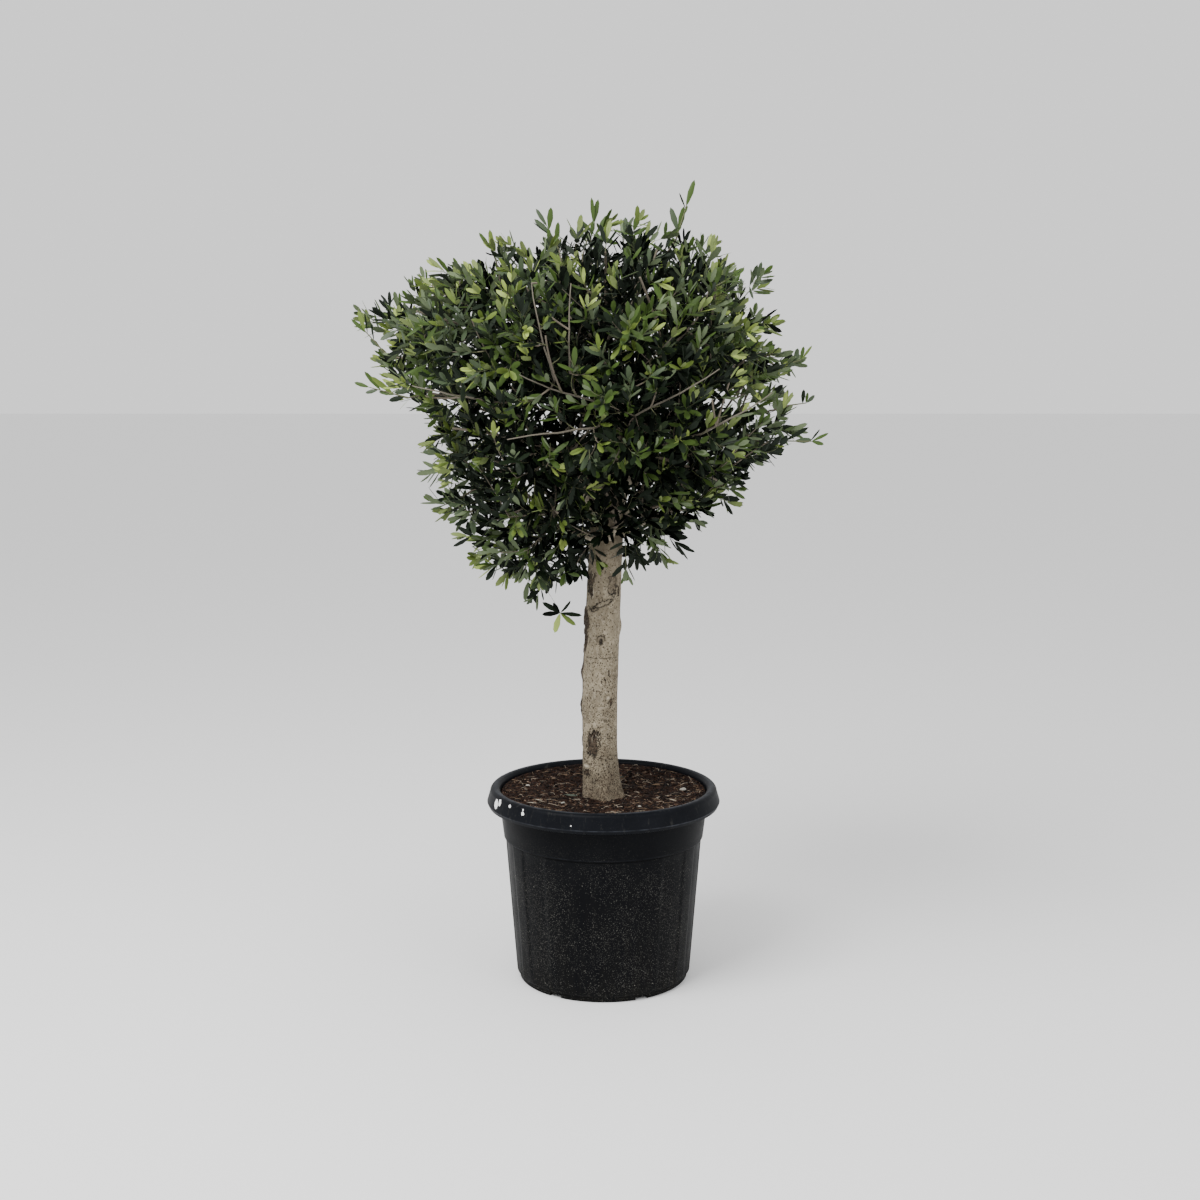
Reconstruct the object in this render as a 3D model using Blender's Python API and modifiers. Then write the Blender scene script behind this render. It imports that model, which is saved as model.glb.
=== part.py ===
"""Potted olive tree: a nursery pot of soil, a trunk, its boughs and the masses of foliage they carry.

Metres, +Z up. The origin is the middle of the pot's underside. -Y is the front and +X the right.
"""

import math
import random

import bmesh
import bpy
import numpy as np
from mathutils import Matrix, Vector

OBJECT = "potted_olive_tree"
SEED = 52
GAP = 0.0003  # clearance between pieces that touch
SMOOTH_BELOW = 40  # degrees between two faces that are shaded as one

# Pot
POT_HEIGHT = 0.42
POT_SIDES = 48
RIM_RADIUS = 0.25  # where the rim's skirt is widest
RIM_DEPTH = 0.041
LIP = 0.009  # how far the skirt turns in under its widest line, and half that inwards
CREST_RADIUS = 0.2325
CREST_HALF_WIDTH = 0.011
CREST_RISE = 0.010
RIM_WALL = 0.003
COLLAR_TOP_RADIUS = 0.2225
COLLAR_FOOT_RADIUS = 0.2145
COLLAR_FOOT_Z = 0.3125
STEP_DEPTH = 0.0035
STEP_DROP = 0.0025
WALL_FOOT_RADIUS = 0.1880
WALL_FOOT_Z = 0.016
POT_WALL = 0.004
FLOOR = 0.010
FOOT_RADIUS = 0.182
FOOT_HEIGHT = 0.012
FLUTES = 12
FLUTE_DEPTH = 0.002
RIB_SPREAD = 1.1  # width of a rib in facets
NOTCHES = 6
NOTCH_WIDTH = 0.026
NOTCH_DEPTH = 0.014
NOTCH_HEIGHT = 0.0065
NOTCH_TURN = math.radians(-4)

# Soil
SOIL_Z = 0.396  # where the trunk stands
SOIL_EDGE_Z = 0.407
SOIL_FLAT_RADIUS = 0.06

# Trunk
TRUNK_SIDES = 16
TRUNK_TOP_Z = 1.075
TRUNK_RADIUS = 0.0368
TRUNK_HEAD_RADIUS = 0.0345
FLARE = 0.0075
FLARE_HEIGHT = 0.045
FLARE_LOBES = 5
FLARE_RINGS = (0.012, 0.03)
LOBE_SHARE = 0.10
LOBE_TURN = 0.7
OVAL_SHARE = 0.02
OVAL_TWIST = 9
SHAFT_RINGS = (0.50, 0.70, 0.83, 0.90, 0.95, 0.985)
HEAD_RINGS = (35, 62)  # degrees up the rounded head
TRUNK_LEAN = 0.012
TRUNK_BOW = 0.011  # to the left
TRUNK_BOW_BACK = 0.004
BOW_SHAPE = 0.6  # under 1 puts the widest point of the bow below the middle
# Knots: height, direction in degrees and how far they stand out
KNOTS = (
    (0.765, 5, 0.0045),
    (0.665, 178, 0.0035),
    (0.592, 176, 0.0040),
    (0.735, -88, 0.0025),
    (0.455, -112, 0.0040),
    (0.640, 60, 0.0030),
    (0.540, 110, 0.0035),
)
KNOT_SPREAD = 0.016

# Crown outline: height, reach to the left (-X) and reach to the right (+X) of the leaf tips
OUTLINE = (
    (0.80, 0.16, 0.00),
    (0.86, 0.27, 0.05),
    (0.90, 0.31, 0.13),
    (0.96, 0.35, 0.20),
    (1.02, 0.39, 0.28),
    (1.08, 0.40, 0.35),
    (1.18, 0.42, 0.42),
    (1.28, 0.47, 0.43),
    (1.38, 0.50, 0.42),
    (1.46, 0.47, 0.38),
    (1.54, 0.38, 0.31),
    (1.60, 0.27, 0.25),
    (1.65, 0.12, 0.14),
)
# Foot of the crown over the bare trunk, and how fast it falls away from it to the right and left
CROWN_FOOT_Z = 0.935
CROWN_FOOT_FALL = (0.35, 1.10)
BARE_RADIUS = 0.045
SIDE_SHARPNESS = 3  # how soon the reach turns from the left side's to that of the rest
CROWN_HEART = (-0.02, 0.0, 1.12)
CROWN_BOX = ((-0.5, 0.5), (-0.5, 0.5), (0.8, 1.65))

# Tips that reach past the outline: x, y, z
REACHING_TIPS = {
    "top_right": (0.180, -0.02, 1.692),
    "top": (-0.014, 0.03, 1.650),
    "top_left": (-0.122, -0.05, 1.626),
    "upper_left": (-0.245, 0.02, 1.592),
    "far_left": (-0.520, -0.03, 1.424),
    "left": (-0.508, 0.05, 1.290),
    "right": (0.425, 0.04, 1.346),
    "lower_right": (0.432, -0.06, 1.240),
    "far_right": (0.466, -0.01, 1.176),
    "hanging": (-0.090, -0.06, 0.742),
    "low_right": (0.144, 0.02, 0.895),
    "low_left": (-0.165, -0.02, 0.815),
    "lower_left": (-0.245, 0.03, 0.860),
    "far_low_left": (-0.390, 0.00, 1.040),
    "low_beside": (0.085, -0.04, 0.890),
    "left_beside": (-0.070, 0.02, 0.850),
}

# Tiers of foliage: name, height of the middles, how many, first direction and share of the reach
TIERS = (
    ("low", 0.99, 5, 0, 0.72),
    ("middle", 1.19, 6, 0, 0.66),
    ("high", 1.40, 5, 0, 0.62),
    ("top", 1.53, 1, 0, 0.00),
)
SPACE_MARGIN = 0.0025  # half the clear strip between two masses

# Boughs: where each tier leaves the trunk, its foot and tip radius, and where it enters its mass
BOUGH_FOOT_Z = {"low": 0.945, "middle": 0.975, "high": 1.010, "top": 1.050}
BOUGH_RADIUS = {"low": 0.0075, "middle": 0.0095, "high": 0.0105, "top": 0.0090}
BOUGH_TIP_RADIUS = 0.0055
BOUGH_ENTRY = {"low": 0.52, "middle": 0.52, "high": 0.50, "top": 0.0}
BOUGH_DROP = {"low": 0.0, "middle": 0.05, "high": 0.13, "top": 0.17}
BOUGH_OUTWARD = {"low": 0.45, "middle": 0.55, "high": 0.40, "top": 0.0}
SHORTEST_ENTRY = 0.075
BOUGH_SEAT = 0.3  # where a bough starts, as a share of the trunk's radius
BOUGH_RISE = 0.45
BOUGH_TAPER = 0.8
BOUGH_POINTS = 5

# Twigs: three-sided, tapering
TWIG_RADIUS = (0.0052, 0.0044, 0.0038)
TWIG_TAPER = 0.75
TWIGS_PER_MASS = 8
TWIG_CANDIDATES = 24
TIP_ROOM = 0.65  # how much of a leaf's length a twig's end leaves clear before it
PATH_WEIGHT = 0.45
WIDEST_FORK = math.radians(90)
SKELETON_STEP = 0.02
SHORTEST_TWIG = 0.04
TWIG_FOOT = 0.007
END_SETBACK = 0.004
LIMB_CLEARANCE = 0.003
SKY_LIFT = 0.25

# Leaves
LEAF_LENGTH = 0.135
LEAF_WIDTH = 0.056
LEAF_THICKNESS = 0.0028
SIDE_SINK = 0.0012
END_SINK = 0.0025
LEAF_STALK = 0.012
LEAF_UPRIGHT = 0.6
LEAF_WANDER = 0.18
LEAF_TRIES = 10
LEAF_ANGLE = math.radians(52)
WHORLS_BACK = (0.011, 0.048, 0.085)
FORK_ROOM = 0.010
LAST_WHORL = 0.9  # of the way back to the twig's foot
LIFT = 0.15
LEAF_SMOOTH_BELOW = 20

MATERIALS = {
    "pot": ((0.022, 0.024, 0.029), 0.55),
    "soil": ((0.050, 0.028, 0.018), 0.95),
    "bark": ((0.330, 0.280, 0.215), 0.85),
    "foliage": ((0.060, 0.095, 0.035), 0.50),
}


def clear_scene():
    for old in list(bpy.data.objects):
        bpy.data.objects.remove(old, do_unlink=True)


def new_collection(name):
    collection = bpy.data.collections.new(name)
    bpy.context.scene.collection.children.link(collection)
    return collection


def material(name):
    colour, roughness = MATERIALS[name]
    made = bpy.data.materials.new(name)
    made.use_nodes = True
    shader = made.node_tree.nodes["Principled BSDF"]
    shader.inputs["Base Color"].default_value = (*colour, 1)
    shader.inputs["Roughness"].default_value = roughness
    shader.inputs["Metallic"].default_value = 0
    return made


def add_object(name, data, collection):
    made = bpy.data.objects.new(name, data)
    collection.objects.link(made)
    return made


def finish(made, slot, smooth_below=SMOOTH_BELOW):
    made.data.materials.clear()
    made.data.materials.append(slot)
    made.data.shade_smooth()
    made.data.set_sharp_from_angle(angle=math.radians(smooth_below))


def mesh_from(shape, name):
    mesh = bpy.data.meshes.new(name)
    shape.to_mesh(mesh)
    shape.free()
    return mesh


def subtract(made, cutter):
    cut = made.modifiers.new("cut", "BOOLEAN")
    cut.operation = "DIFFERENCE"
    cut.solver = "EXACT"
    cut.object = cutter


def hide(cutter):
    cutter.hide_render = True
    cutter.display_type = "WIRE"


# Pot and soil


def half_turn(sides):
    """Half a facet's angle, which puts the middle of a facet to the front."""
    return math.pi / sides


def turned(name, profile, collection):
    """A profile in the XZ plane, down its outer side, turned round Z into a closed solid."""
    shape = bmesh.new()
    turn = Matrix.Rotation(half_turn(POT_SIDES), 3, "Z")
    points = [shape.verts.new(turn @ Vector((r, 0, z))) for r, z in profile]
    for above, below in zip(points, points[1:]):
        shape.edges.new((above, below))
    made = add_object(name, mesh_from(shape, name), collection)
    screw = made.modifiers.new("turn", "SCREW")
    screw.axis = "Z"
    screw.steps = POT_SIDES
    screw.render_steps = POT_SIDES
    screw.use_merge_vertices = True
    screw.merge_threshold = 0.0001
    return made


def applied(made):
    """The object's modifiers made part of its mesh."""
    graph = bpy.context.evaluated_depsgraph_get()
    mesh = bpy.data.meshes.new_from_object(made.evaluated_get(graph))
    made.modifiers.clear()
    old = made.data
    made.data = mesh
    bpy.data.meshes.remove(old)
    return made


def arc(centre, width, rise, start, end, steps):
    """Points on an ellipse from one angle to another, in degrees."""
    angles = [math.radians(start + (end - start) * k / steps) for k in range(steps + 1)]
    return [(centre[0] + width * math.cos(a), centre[1] + rise * math.sin(a)) for a in angles]


def inner_wall(gap=0.0):
    """The pot's inside from its rim down to its floor, or the same line a gap further in."""
    step_radius = COLLAR_FOOT_RADIUS - STEP_DEPTH
    return [
        (COLLAR_TOP_RADIUS - POT_WALL - gap, POT_HEIGHT - RIM_DEPTH),
        (step_radius - POT_WALL - gap, COLLAR_FOOT_Z - STEP_DROP),
        (WALL_FOOT_RADIUS - POT_WALL - gap, FLOOR + gap),
    ]


def pot_profile():
    crest = (CREST_RADIUS, POT_HEIGHT - CREST_RISE)
    skirt_foot = POT_HEIGHT - RIM_DEPTH
    hook = (CREST_HALF_WIDTH - RIM_WALL, CREST_RISE - RIM_WALL)
    return [
        (0, FLOOR),
        *reversed(inner_wall()),
        *arc(crest, CREST_HALF_WIDTH, CREST_RISE, 180, 0, 4),
        (RIM_RADIUS, skirt_foot + LIP),
        (RIM_RADIUS - LIP / 2, skirt_foot),
        (RIM_RADIUS - LIP / 2 - RIM_WALL, skirt_foot),
        *arc(crest, *hook, 0, 180, 2),
        (COLLAR_TOP_RADIUS, skirt_foot),
        (COLLAR_FOOT_RADIUS, COLLAR_FOOT_Z),
        (COLLAR_FOOT_RADIUS - STEP_DEPTH, COLLAR_FOOT_Z - STEP_DROP),
        (WALL_FOOT_RADIUS, WALL_FOOT_Z),
        (FOOT_RADIUS, FOOT_HEIGHT),
        (FOOT_RADIUS, 0),
        (0, 0),
    ]


def press_flutes(mesh):
    """Draws the wall's outer points in between the ribs."""
    rings = (
        (COLLAR_FOOT_RADIUS - STEP_DEPTH, COLLAR_FOOT_Z - STEP_DROP),
        (WALL_FOOT_RADIUS, WALL_FOOT_Z),
    )
    rib_half_angle = math.pi / POT_SIDES * RIB_SPREAD
    period = 2 * math.pi / FLUTES
    for vertex in mesh.vertices:
        x, y, z = vertex.co
        radius = math.hypot(x, y)
        on_wall = any(math.dist((radius, z), ring) < POT_WALL / 4 for ring in rings)
        from_rib = (math.atan2(x, -y) + period / 2) % period - period / 2
        if on_wall and abs(from_rib) > rib_half_angle:
            share = 1 - FLUTE_DEPTH / radius
            vertex.co = (x * share, y * share, z)


def notch_cutters(collection):
    """Drain notches round the pot's foot, in one cutter."""
    shape = bmesh.new()
    for number in range(NOTCHES):
        turn = NOTCH_TURN + math.pi / NOTCHES + 2 * math.pi * number / NOTCHES - math.pi / 2
        place = (
            Matrix.Rotation(turn, 4, "Z")
            @ Matrix.Translation((FOOT_RADIUS, 0, 0))
            @ Matrix.Diagonal((2 * NOTCH_DEPTH, NOTCH_WIDTH, 2 * NOTCH_HEIGHT, 1))
        )
        bmesh.ops.create_cube(shape, size=1, matrix=place)
    cutter = add_object("drain_notches", mesh_from(shape, "drain_notches"), collection)
    hide(cutter)
    return cutter


def build_pot(parts, cutters, slot):
    pot = applied(turned("pot", pot_profile(), parts))
    press_flutes(pot.data)
    subtract(pot, notch_cutters(cutters))
    finish(pot, slot)


def build_soil(parts, slot):
    edge = inner_wall(GAP)
    slope = (CREST_RADIUS - CREST_HALF_WIDTH - edge[0][0]) / (RIM_DEPTH - CREST_RISE)
    rim = edge[0][0] + slope * (SOIL_EDGE_Z - edge[0][1]) - 2 * GAP
    profile = [(0, SOIL_Z), (SOIL_FLAT_RADIUS, SOIL_Z), (rim, SOIL_EDGE_Z), *edge, (0, edge[-1][1])]
    finish(applied(turned("soil", profile, parts)), slot)


# Trunk and boughs


def trunk_centre(z):
    share = min(max((z - SOIL_Z) / (TRUNK_TOP_Z - SOIL_Z), 0), 1)
    bow = math.sin(math.pi * share**BOW_SHAPE)
    return np.array((TRUNK_LEAN * share - TRUNK_BOW * bow, TRUNK_BOW_BACK * bow, z))


def trunk_radius(z, angle=None):
    """Radius of the trunk at a height. With an angle, its root lobes and knots count too."""
    share = (z - SOIL_Z) / (TRUNK_TOP_Z - SOIL_Z)
    flare = math.exp(-(z - SOIL_Z) / FLARE_HEIGHT)
    radius = TRUNK_RADIUS + (TRUNK_HEAD_RADIUS - TRUNK_RADIUS) * share**2 + FLARE * flare
    if angle is None:
        return radius
    radius *= 1 + LOBE_SHARE * flare * math.cos(FLARE_LOBES * angle + LOBE_TURN)
    radius *= 1 + OVAL_SHARE * math.cos(2 * angle + OVAL_TWIST * z)
    for height, direction, rise in KNOTS:
        around = (angle - math.radians(direction) + math.pi) % (2 * math.pi) - math.pi
        distance = math.hypot(around * TRUNK_RADIUS, z - height)
        radius += rise * math.exp(-((distance / KNOT_SPREAD) ** 2))
    return radius


def trunk_heights():
    """Ring heights, close together over the root flare and at the knots."""
    foot = [SOIL_Z + lift for lift in (GAP, *FLARE_RINGS)]
    return sorted([*foot, *SHAFT_RINGS, *(height for height, _, _ in KNOTS)])


def trunk_mesh(swell=0.0):
    """A loft of rings that follow the trunk's bow, closed by a rounded head."""
    shape = bmesh.new()
    angles = [2 * math.pi * k / TRUNK_SIDES for k in range(TRUNK_SIDES)]
    heights = trunk_heights()
    shoulder = heights[-1]
    dome = TRUNK_TOP_Z - shoulder
    rings = [(z, 1.0) for z in heights]
    for lift in HEAD_RINGS:
        rings.append((shoulder + dome * math.sin(math.radians(lift)), math.cos(math.radians(lift))))
    loops = []
    for z, share in rings:
        centre = trunk_centre(z)
        loop = []
        for a in angles:
            reach = trunk_radius(min(z, shoulder), a) * share + swell
            loop.append(shape.verts.new(centre + reach * np.array((math.cos(a), math.sin(a), 0))))
        loops.append(loop)
    top = shape.verts.new(trunk_centre(TRUNK_TOP_Z) + np.array((0, 0, swell)))
    for lower, upper in zip(loops, loops[1:]):
        for k in range(TRUNK_SIDES):
            n = (k + 1) % TRUNK_SIDES
            shape.faces.new((lower[k], lower[n], upper[n], upper[k]))
    for k in range(TRUNK_SIDES):
        shape.faces.new((loops[-1][k], loops[-1][(k + 1) % TRUNK_SIDES], top))
    shape.faces.new(list(reversed(loops[0])))
    return mesh_from(shape, "trunk")


def build_trunk(parts, cutters, slot):
    finish(add_object("trunk", trunk_mesh(), parts), slot)
    swollen = add_object("trunk_clearance", trunk_mesh(GAP), cutters)
    hide(swollen)
    return swollen


def around(degrees):
    return np.array((math.cos(math.radians(degrees)), math.sin(math.radians(degrees)), 0))


def by_side(direction, right, left):
    """A value between the one on the right, which front and back share, and the one on the left."""
    leftward = ((1 - math.cos(direction)) / 2) ** SIDE_SHARPNESS
    return right * (1 - leftward) + left * leftward


def outline_reach(z, direction):
    """How far the leaf tips reach from the axis at a height, in a direction."""
    heights, left, right = zip(*OUTLINE)
    if not heights[0] <= z <= heights[-1]:
        return 0.0
    return float(by_side(direction, np.interp(z, heights, right), np.interp(z, heights, left)))


def mass_plan():
    """Name, tier, direction and middle of every mass of foliage."""
    plan = []
    for tier, height, count, first, share in TIERS:
        for number in range(count):
            degrees = first + 360 * number / count
            reach = outline_reach(height, math.radians(degrees)) * share
            name = tier if count == 1 else f"{tier}_{number + 1}"
            plan.append((name, tier, degrees % 360, reach * around(degrees) + (0, 0, height)))
    return plan


def bend(start, control, end, share):
    return (1 - share) ** 2 * start + 2 * share * (1 - share) * control + share**2 * end


class Limb:
    """A tapering limb along a bend, as points with a radius each."""

    def __init__(self, name, start, control, end, foot_radius):
        self.name = name
        shares = np.linspace(0, 1, BOUGH_POINTS)
        self.points = np.array([bend(start, control, end, s) for s in shares])
        self.radii = foot_radius + (BOUGH_TIP_RADIUS - foot_radius) * shares**BOUGH_TAPER
        self.way = (end - control) / np.linalg.norm(end - control)

    def curve(self):
        data = bpy.data.curves.new(self.name, "CURVE")
        data.dimensions = "3D"
        data.bevel_depth = 1
        data.bevel_resolution = 1
        data.use_fill_caps = True
        spline = data.splines.new("POLY")
        spline.points.add(len(self.points) - 1)
        for point, place, radius in zip(spline.points, self.points, self.radii):
            point.co = (*place, 1)
            point.radius = radius
        return data


def as_mesh_object(name, curve, collection):
    """A curve made a mesh object, its caps welded."""
    guide = add_object(name + "_guide", curve, collection)
    bpy.context.view_layer.update()
    graph = bpy.context.evaluated_depsgraph_get()
    mesh = bpy.data.meshes.new_from_object(guide.evaluated_get(graph))
    shape = bmesh.new()
    shape.from_mesh(mesh)
    bmesh.ops.remove_doubles(shape, verts=shape.verts, dist=0.00001)
    bmesh.ops.recalc_face_normals(shape, faces=shape.faces)
    shape.to_mesh(mesh)
    shape.free()
    made = add_object(name, mesh, collection)
    made.matrix_world = guide.matrix_world
    bpy.data.objects.remove(guide, do_unlink=True)
    bpy.data.curves.remove(curve)
    return made


def plan_limbs(plan):
    """Every bough, by the name of the mass that it carries."""
    limbs = {}
    for name, tier, degrees, middle in plan:
        foot = trunk_centre(BOUGH_FOOT_Z[tier])
        start = foot + BOUGH_SEAT * trunk_radius(foot[2]) * around(degrees) * (tier != "top")
        across = max(BOUGH_ENTRY[tier] * np.linalg.norm(middle[:2]), SHORTEST_ENTRY * (tier != "top"))
        end = across * around(degrees) + (0, 0, middle[2] - BOUGH_DROP[tier])
        outward = BOUGH_OUTWARD[tier]
        control = start + (end - start) * (outward, outward, BOUGH_RISE)
        limbs[name] = Limb(f"bough_{name}", start, control, end, BOUGH_RADIUS[tier])
    return limbs


def build_boughs(limbs, trunk_clearance, parts, slot):
    for limb in limbs.values():
        made = as_mesh_object(limb.name, limb.curve(), parts)
        subtract(made, trunk_clearance)
        finish(made, slot)


# Growth of a mass of foliage


def distance_between(a, b, c, d):
    """Least distance from segment ab to each of the segments cd."""
    u, v, w = b - a, d - c, a - c
    uu, vv = u @ u, np.einsum("ij,ij->i", v, v)
    uv, uw, vw = v @ u, w @ u, np.einsum("ij,ij->i", v, w)
    spread = np.maximum(uu * vv - uv**2, 1e-12)
    s = np.clip((uv * vw - vv * uw) / spread, 0, 1)
    t = np.clip((uv * s + vw) / vv, 0, 1)
    s = np.clip((uv * t - uw) / uu, 0, 1)
    gap = (a + s[:, None] * u) - (c + t[:, None] * v)
    return np.linalg.norm(gap, axis=1)


class Space:
    """The room of one mass: nearer to its middle than to any other's, inside the outline, clear of limbs."""

    def __init__(self, middle, others, limb_starts, limb_ends, limb_radii):
        self.middle = middle
        away = others - middle
        self.normals = away / np.linalg.norm(away, axis=1)[:, None]
        self.offsets = np.einsum("ij,ij->i", self.normals, (others + middle) / 2) - SPACE_MARGIN
        self.limbs = (limb_starts, limb_ends, limb_radii)

    def holds(self, point):
        return bool((self.normals @ point <= self.offsets).all())

    def in_outline(self, point):
        direction = math.atan2(point[1], point[0])
        radius = math.hypot(point[0], point[1])
        foot = CROWN_FOOT_Z - by_side(direction, *CROWN_FOOT_FALL) * max(radius - BARE_RADIUS, 0)
        return point[2] > foot and radius <= outline_reach(point[2], direction)

    def clear(self, start, end, radius):
        starts, ends, radii = self.limbs
        return bool((distance_between(start, end, starts, ends) > radii + radius + LIMB_CLEARANCE).all())


def twig_ends(space, foot, draw, reach_to):
    """Evenly spread ends for the twigs of a mass, the nearest to its foot first."""
    ends = [space.middle]
    while len(ends) < TWIGS_PER_MASS:
        best, widest = None, 0
        for _ in range(TWIG_CANDIDATES):
            point = np.array([draw.uniform(*limits) for limits in CROWN_BOX])
            outer = point + reach_to * outward(point)
            if not (space.holds(point) and space.holds(outer) and space.in_outline(outer)):
                continue
            nearest = min(np.linalg.norm(point - end) for end in ends)
            if nearest > widest:
                best, widest = point, nearest
        if best is not None:
            ends.append(best)
    return [ends[0], *sorted(ends[1:], key=lambda end: np.linalg.norm(end - foot))]


def outward(point):
    """The way a shoot at a point looks for light: away from the crown's heart, and up."""
    way = point - CROWN_HEART
    way = way / np.linalg.norm(way) + (0, 0, SKY_LIFT)
    return way / np.linalg.norm(way)


def axes_about(way):
    """Two axes across a way, the first of them level."""
    flat = np.cross(way, (0, 0, 1) if abs(way[2]) < 0.95 else (1, 0, 0))
    flat /= np.linalg.norm(flat)
    return flat, np.cross(way, flat)


class Twig:
    """A straight three-sided twig. Its faces look along x and two more ways a third of a turn apart."""

    def __init__(self, start, end, order, turn=0.0):
        self.start, self.end, self.order = start, end, order
        self.length = float(np.linalg.norm(end - start))
        self.way = (end - start) / self.length
        self.radius = TWIG_RADIUS[min(order, len(TWIG_RADIUS) - 1)]
        flat, other = axes_about(self.way)
        self.x = math.cos(turn) * flat + math.sin(turn) * other
        self.y = np.cross(self.way, self.x)

    def side_ways(self):
        """Ways out through the twig's three faces."""
        turns = [2 * math.pi * k / 3 for k in range(3)]
        sides = [math.cos(t) * self.x + math.sin(t) * self.y for t in turns]
        return [math.cos(LEAF_ANGLE) * self.way + math.sin(LEAF_ANGLE) * side for side in sides]


def grow_twigs(space, foot, first_way, ends, draw):
    """Joins each end to the point of the twigs so far that gives the shortest way back to the foot."""
    twigs = []
    joints = [(foot - first_way * END_SETBACK, 0.0, first_way, 0)]
    for end in ends:
        found = []
        for place, path, way, order in joints:
            reach = np.linalg.norm(end - place)
            if reach < SHORTEST_TWIG or not space.clear(place + way * 0.001, end, TWIG_RADIUS[0]):
                continue
            turn = math.acos(max(-1, min(1, float((end - place) @ way / reach))))
            if turn < WIDEST_FORK:
                found.append((reach + PATH_WEIGHT * path, place, path, order))
        if not found:
            continue
        _, place, path, order = min(found, key=lambda way_back: way_back[0])
        twig = Twig(place, end, order, draw.uniform(0, math.pi))
        twigs.append(twig)
        steps = max(int(twig.length / SKELETON_STEP), 1)
        for step in range(1, steps + 1):
            along = twig.length * step / steps - END_SETBACK
            joints.append((place + twig.way * along, path + along, twig.way, order + 1))
    return twigs


class Leaf:
    """A leaf from its root along its way, with its flat across it."""

    def __init__(self, root, way, sink, draw):
        self.way = way / np.linalg.norm(way)
        self.sink = sink
        self.root = root
        flat = random_way(draw) + (0, 0, LEAF_UPRIGHT)
        flat -= self.way * (flat @ self.way)
        self.flat = flat / np.linalg.norm(flat)
        middle = root + self.way * LEAF_LENGTH / 2
        sides = [middle + s * self.flat * LEAF_WIDTH / 2 for s in (1, -1)]
        self.tip = root + self.way * LEAF_LENGTH
        self.corners = np.array([root + self.way * LEAF_STALK, sides[0], self.tip, sides[1]])

    def edges(self):
        return self.corners, np.roll(self.corners, -1, axis=0)

    def triangles(self):
        return self.corners[[(0, 1, 2), (0, 2, 3)]]


def random_way(draw):
    return np.array([draw.uniform(-1, 1) for _ in range(3)])


def pierced(starts, ends, triangles):
    """Whether any of the segments passes through any of the triangles."""
    ways = (ends - starts)[:, None]
    a, b, c = (triangles[None, :, k] for k in range(3))
    cross = np.cross(ways, c - a)
    flat = np.einsum("ijk,ijk->ij", cross, np.broadcast_to(b - a, cross.shape))
    flat = np.where(np.abs(flat) < 1e-12, 1e-12, flat)
    back = starts[:, None] - a
    u = np.einsum("ijk,ijk->ij", cross, back) / flat
    other = np.cross(back, b - a)
    v = np.einsum("ijk,ijk->ij", other, np.broadcast_to(ways, other.shape)) / flat
    t = np.einsum("ijk,ijk->ij", other, np.broadcast_to(c - a, other.shape)) / flat
    return bool(((u > 0) & (v > 0) & (u + v < 1) & (t > 0) & (t < 1)).any())


def crosses(leaf, leaves, twigs):
    """Whether a leaf passes through another leaf, or a twig that isn't its own."""
    others = [t for t in twigs if np.linalg.norm(np.cross(leaf.root - t.start, t.way)) > t.radius]
    if others:
        starts, ends = np.array([t.start for t in others]), np.array([t.end for t in others])
        if pierced(starts, ends, leaf.triangles()):
            return True
    near = [other for other in leaves if np.linalg.norm(other.root - leaf.root) < 2 * LEAF_LENGTH]
    if not near:
        return False
    starts, ends = (np.concatenate(side) for side in zip(*(other.edges() for other in near)))
    triangles = np.concatenate([other.triangles() for other in near])
    return pierced(*leaf.edges(), triangles) or pierced(starts, ends, leaf.triangles())


def add_leaf(space, leaves, twigs, root, way, sink, draw, reaching=False):
    """Adds a leaf that stays in its space and crosses nothing, after a few tries, or none."""
    for attempt in range(LEAF_TRIES):
        leaf = Leaf(root, way + LEAF_WANDER * attempt * random_way(draw), sink, draw)
        corners = leaf.corners[1:]
        if not all(space.holds(corner) for corner in corners):
            continue
        if not reaching and not all(space.in_outline(corner) for corner in corners):
            continue
        if not all(space.clear(start, end, LEAF_THICKNESS) for start, end in zip(*leaf.edges())):
            continue
        if not crosses(leaf, leaves, twigs):
            leaves.append(leaf)
            return


def grow_leaves(space, leaves, twigs, draw):
    """A leaf at each free twig end, and whorls of three behind it, clear of the twig's forks."""
    forks = np.array([twig.start for twig in twigs])
    for twig in twigs:
        light = outward(twig.end)
        for back in (0, *WHORLS_BACK):
            spot = twig.end - twig.way * back
            if back > twig.length * LAST_WHORL or np.linalg.norm(forks - spot, axis=1).min() < FORK_ROOM:
                continue
            ways = twig.side_ways() if back else [twig.way]
            for way in ways:
                sink = SIDE_SINK if back else END_SINK
                add_leaf(space, leaves, twigs, spot, way + LIFT * light, sink, draw)


def grow_reaching_shoots(space, leaves, twigs, draw):
    """Shoots whose last leaf ends at one of the far tips."""
    for place in REACHING_TIPS.values():
        tip = np.array(place)
        if not space.holds(tip):
            continue
        near = min(twigs, key=lambda twig: np.linalg.norm(twig.end - tip))
        way = (tip - near.end) / np.linalg.norm(tip - near.end)
        end = tip - way * LEAF_LENGTH
        if (end - near.end) @ way > SKELETON_STEP:
            start = near.end - near.way * END_SETBACK
            shoot = Twig(start, end, near.order + 1, draw.uniform(0, math.pi))
            twigs.append(shoot)
            for side in shoot.side_ways():
                spot = end - way * WHORLS_BACK[0]
                add_leaf(space, leaves, twigs, spot, side, SIDE_SINK, draw)
        else:
            end = near.end
        add_leaf(space, leaves, twigs, end, way, END_SINK, draw, reaching=True)


# Foliage solids


def placing(x, y, z, place):
    rows = [(float(x[k]), float(y[k]), float(z[k]), float(place[k])) for k in range(3)]
    return Matrix((*rows, (0, 0, 0, 1)))


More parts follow.
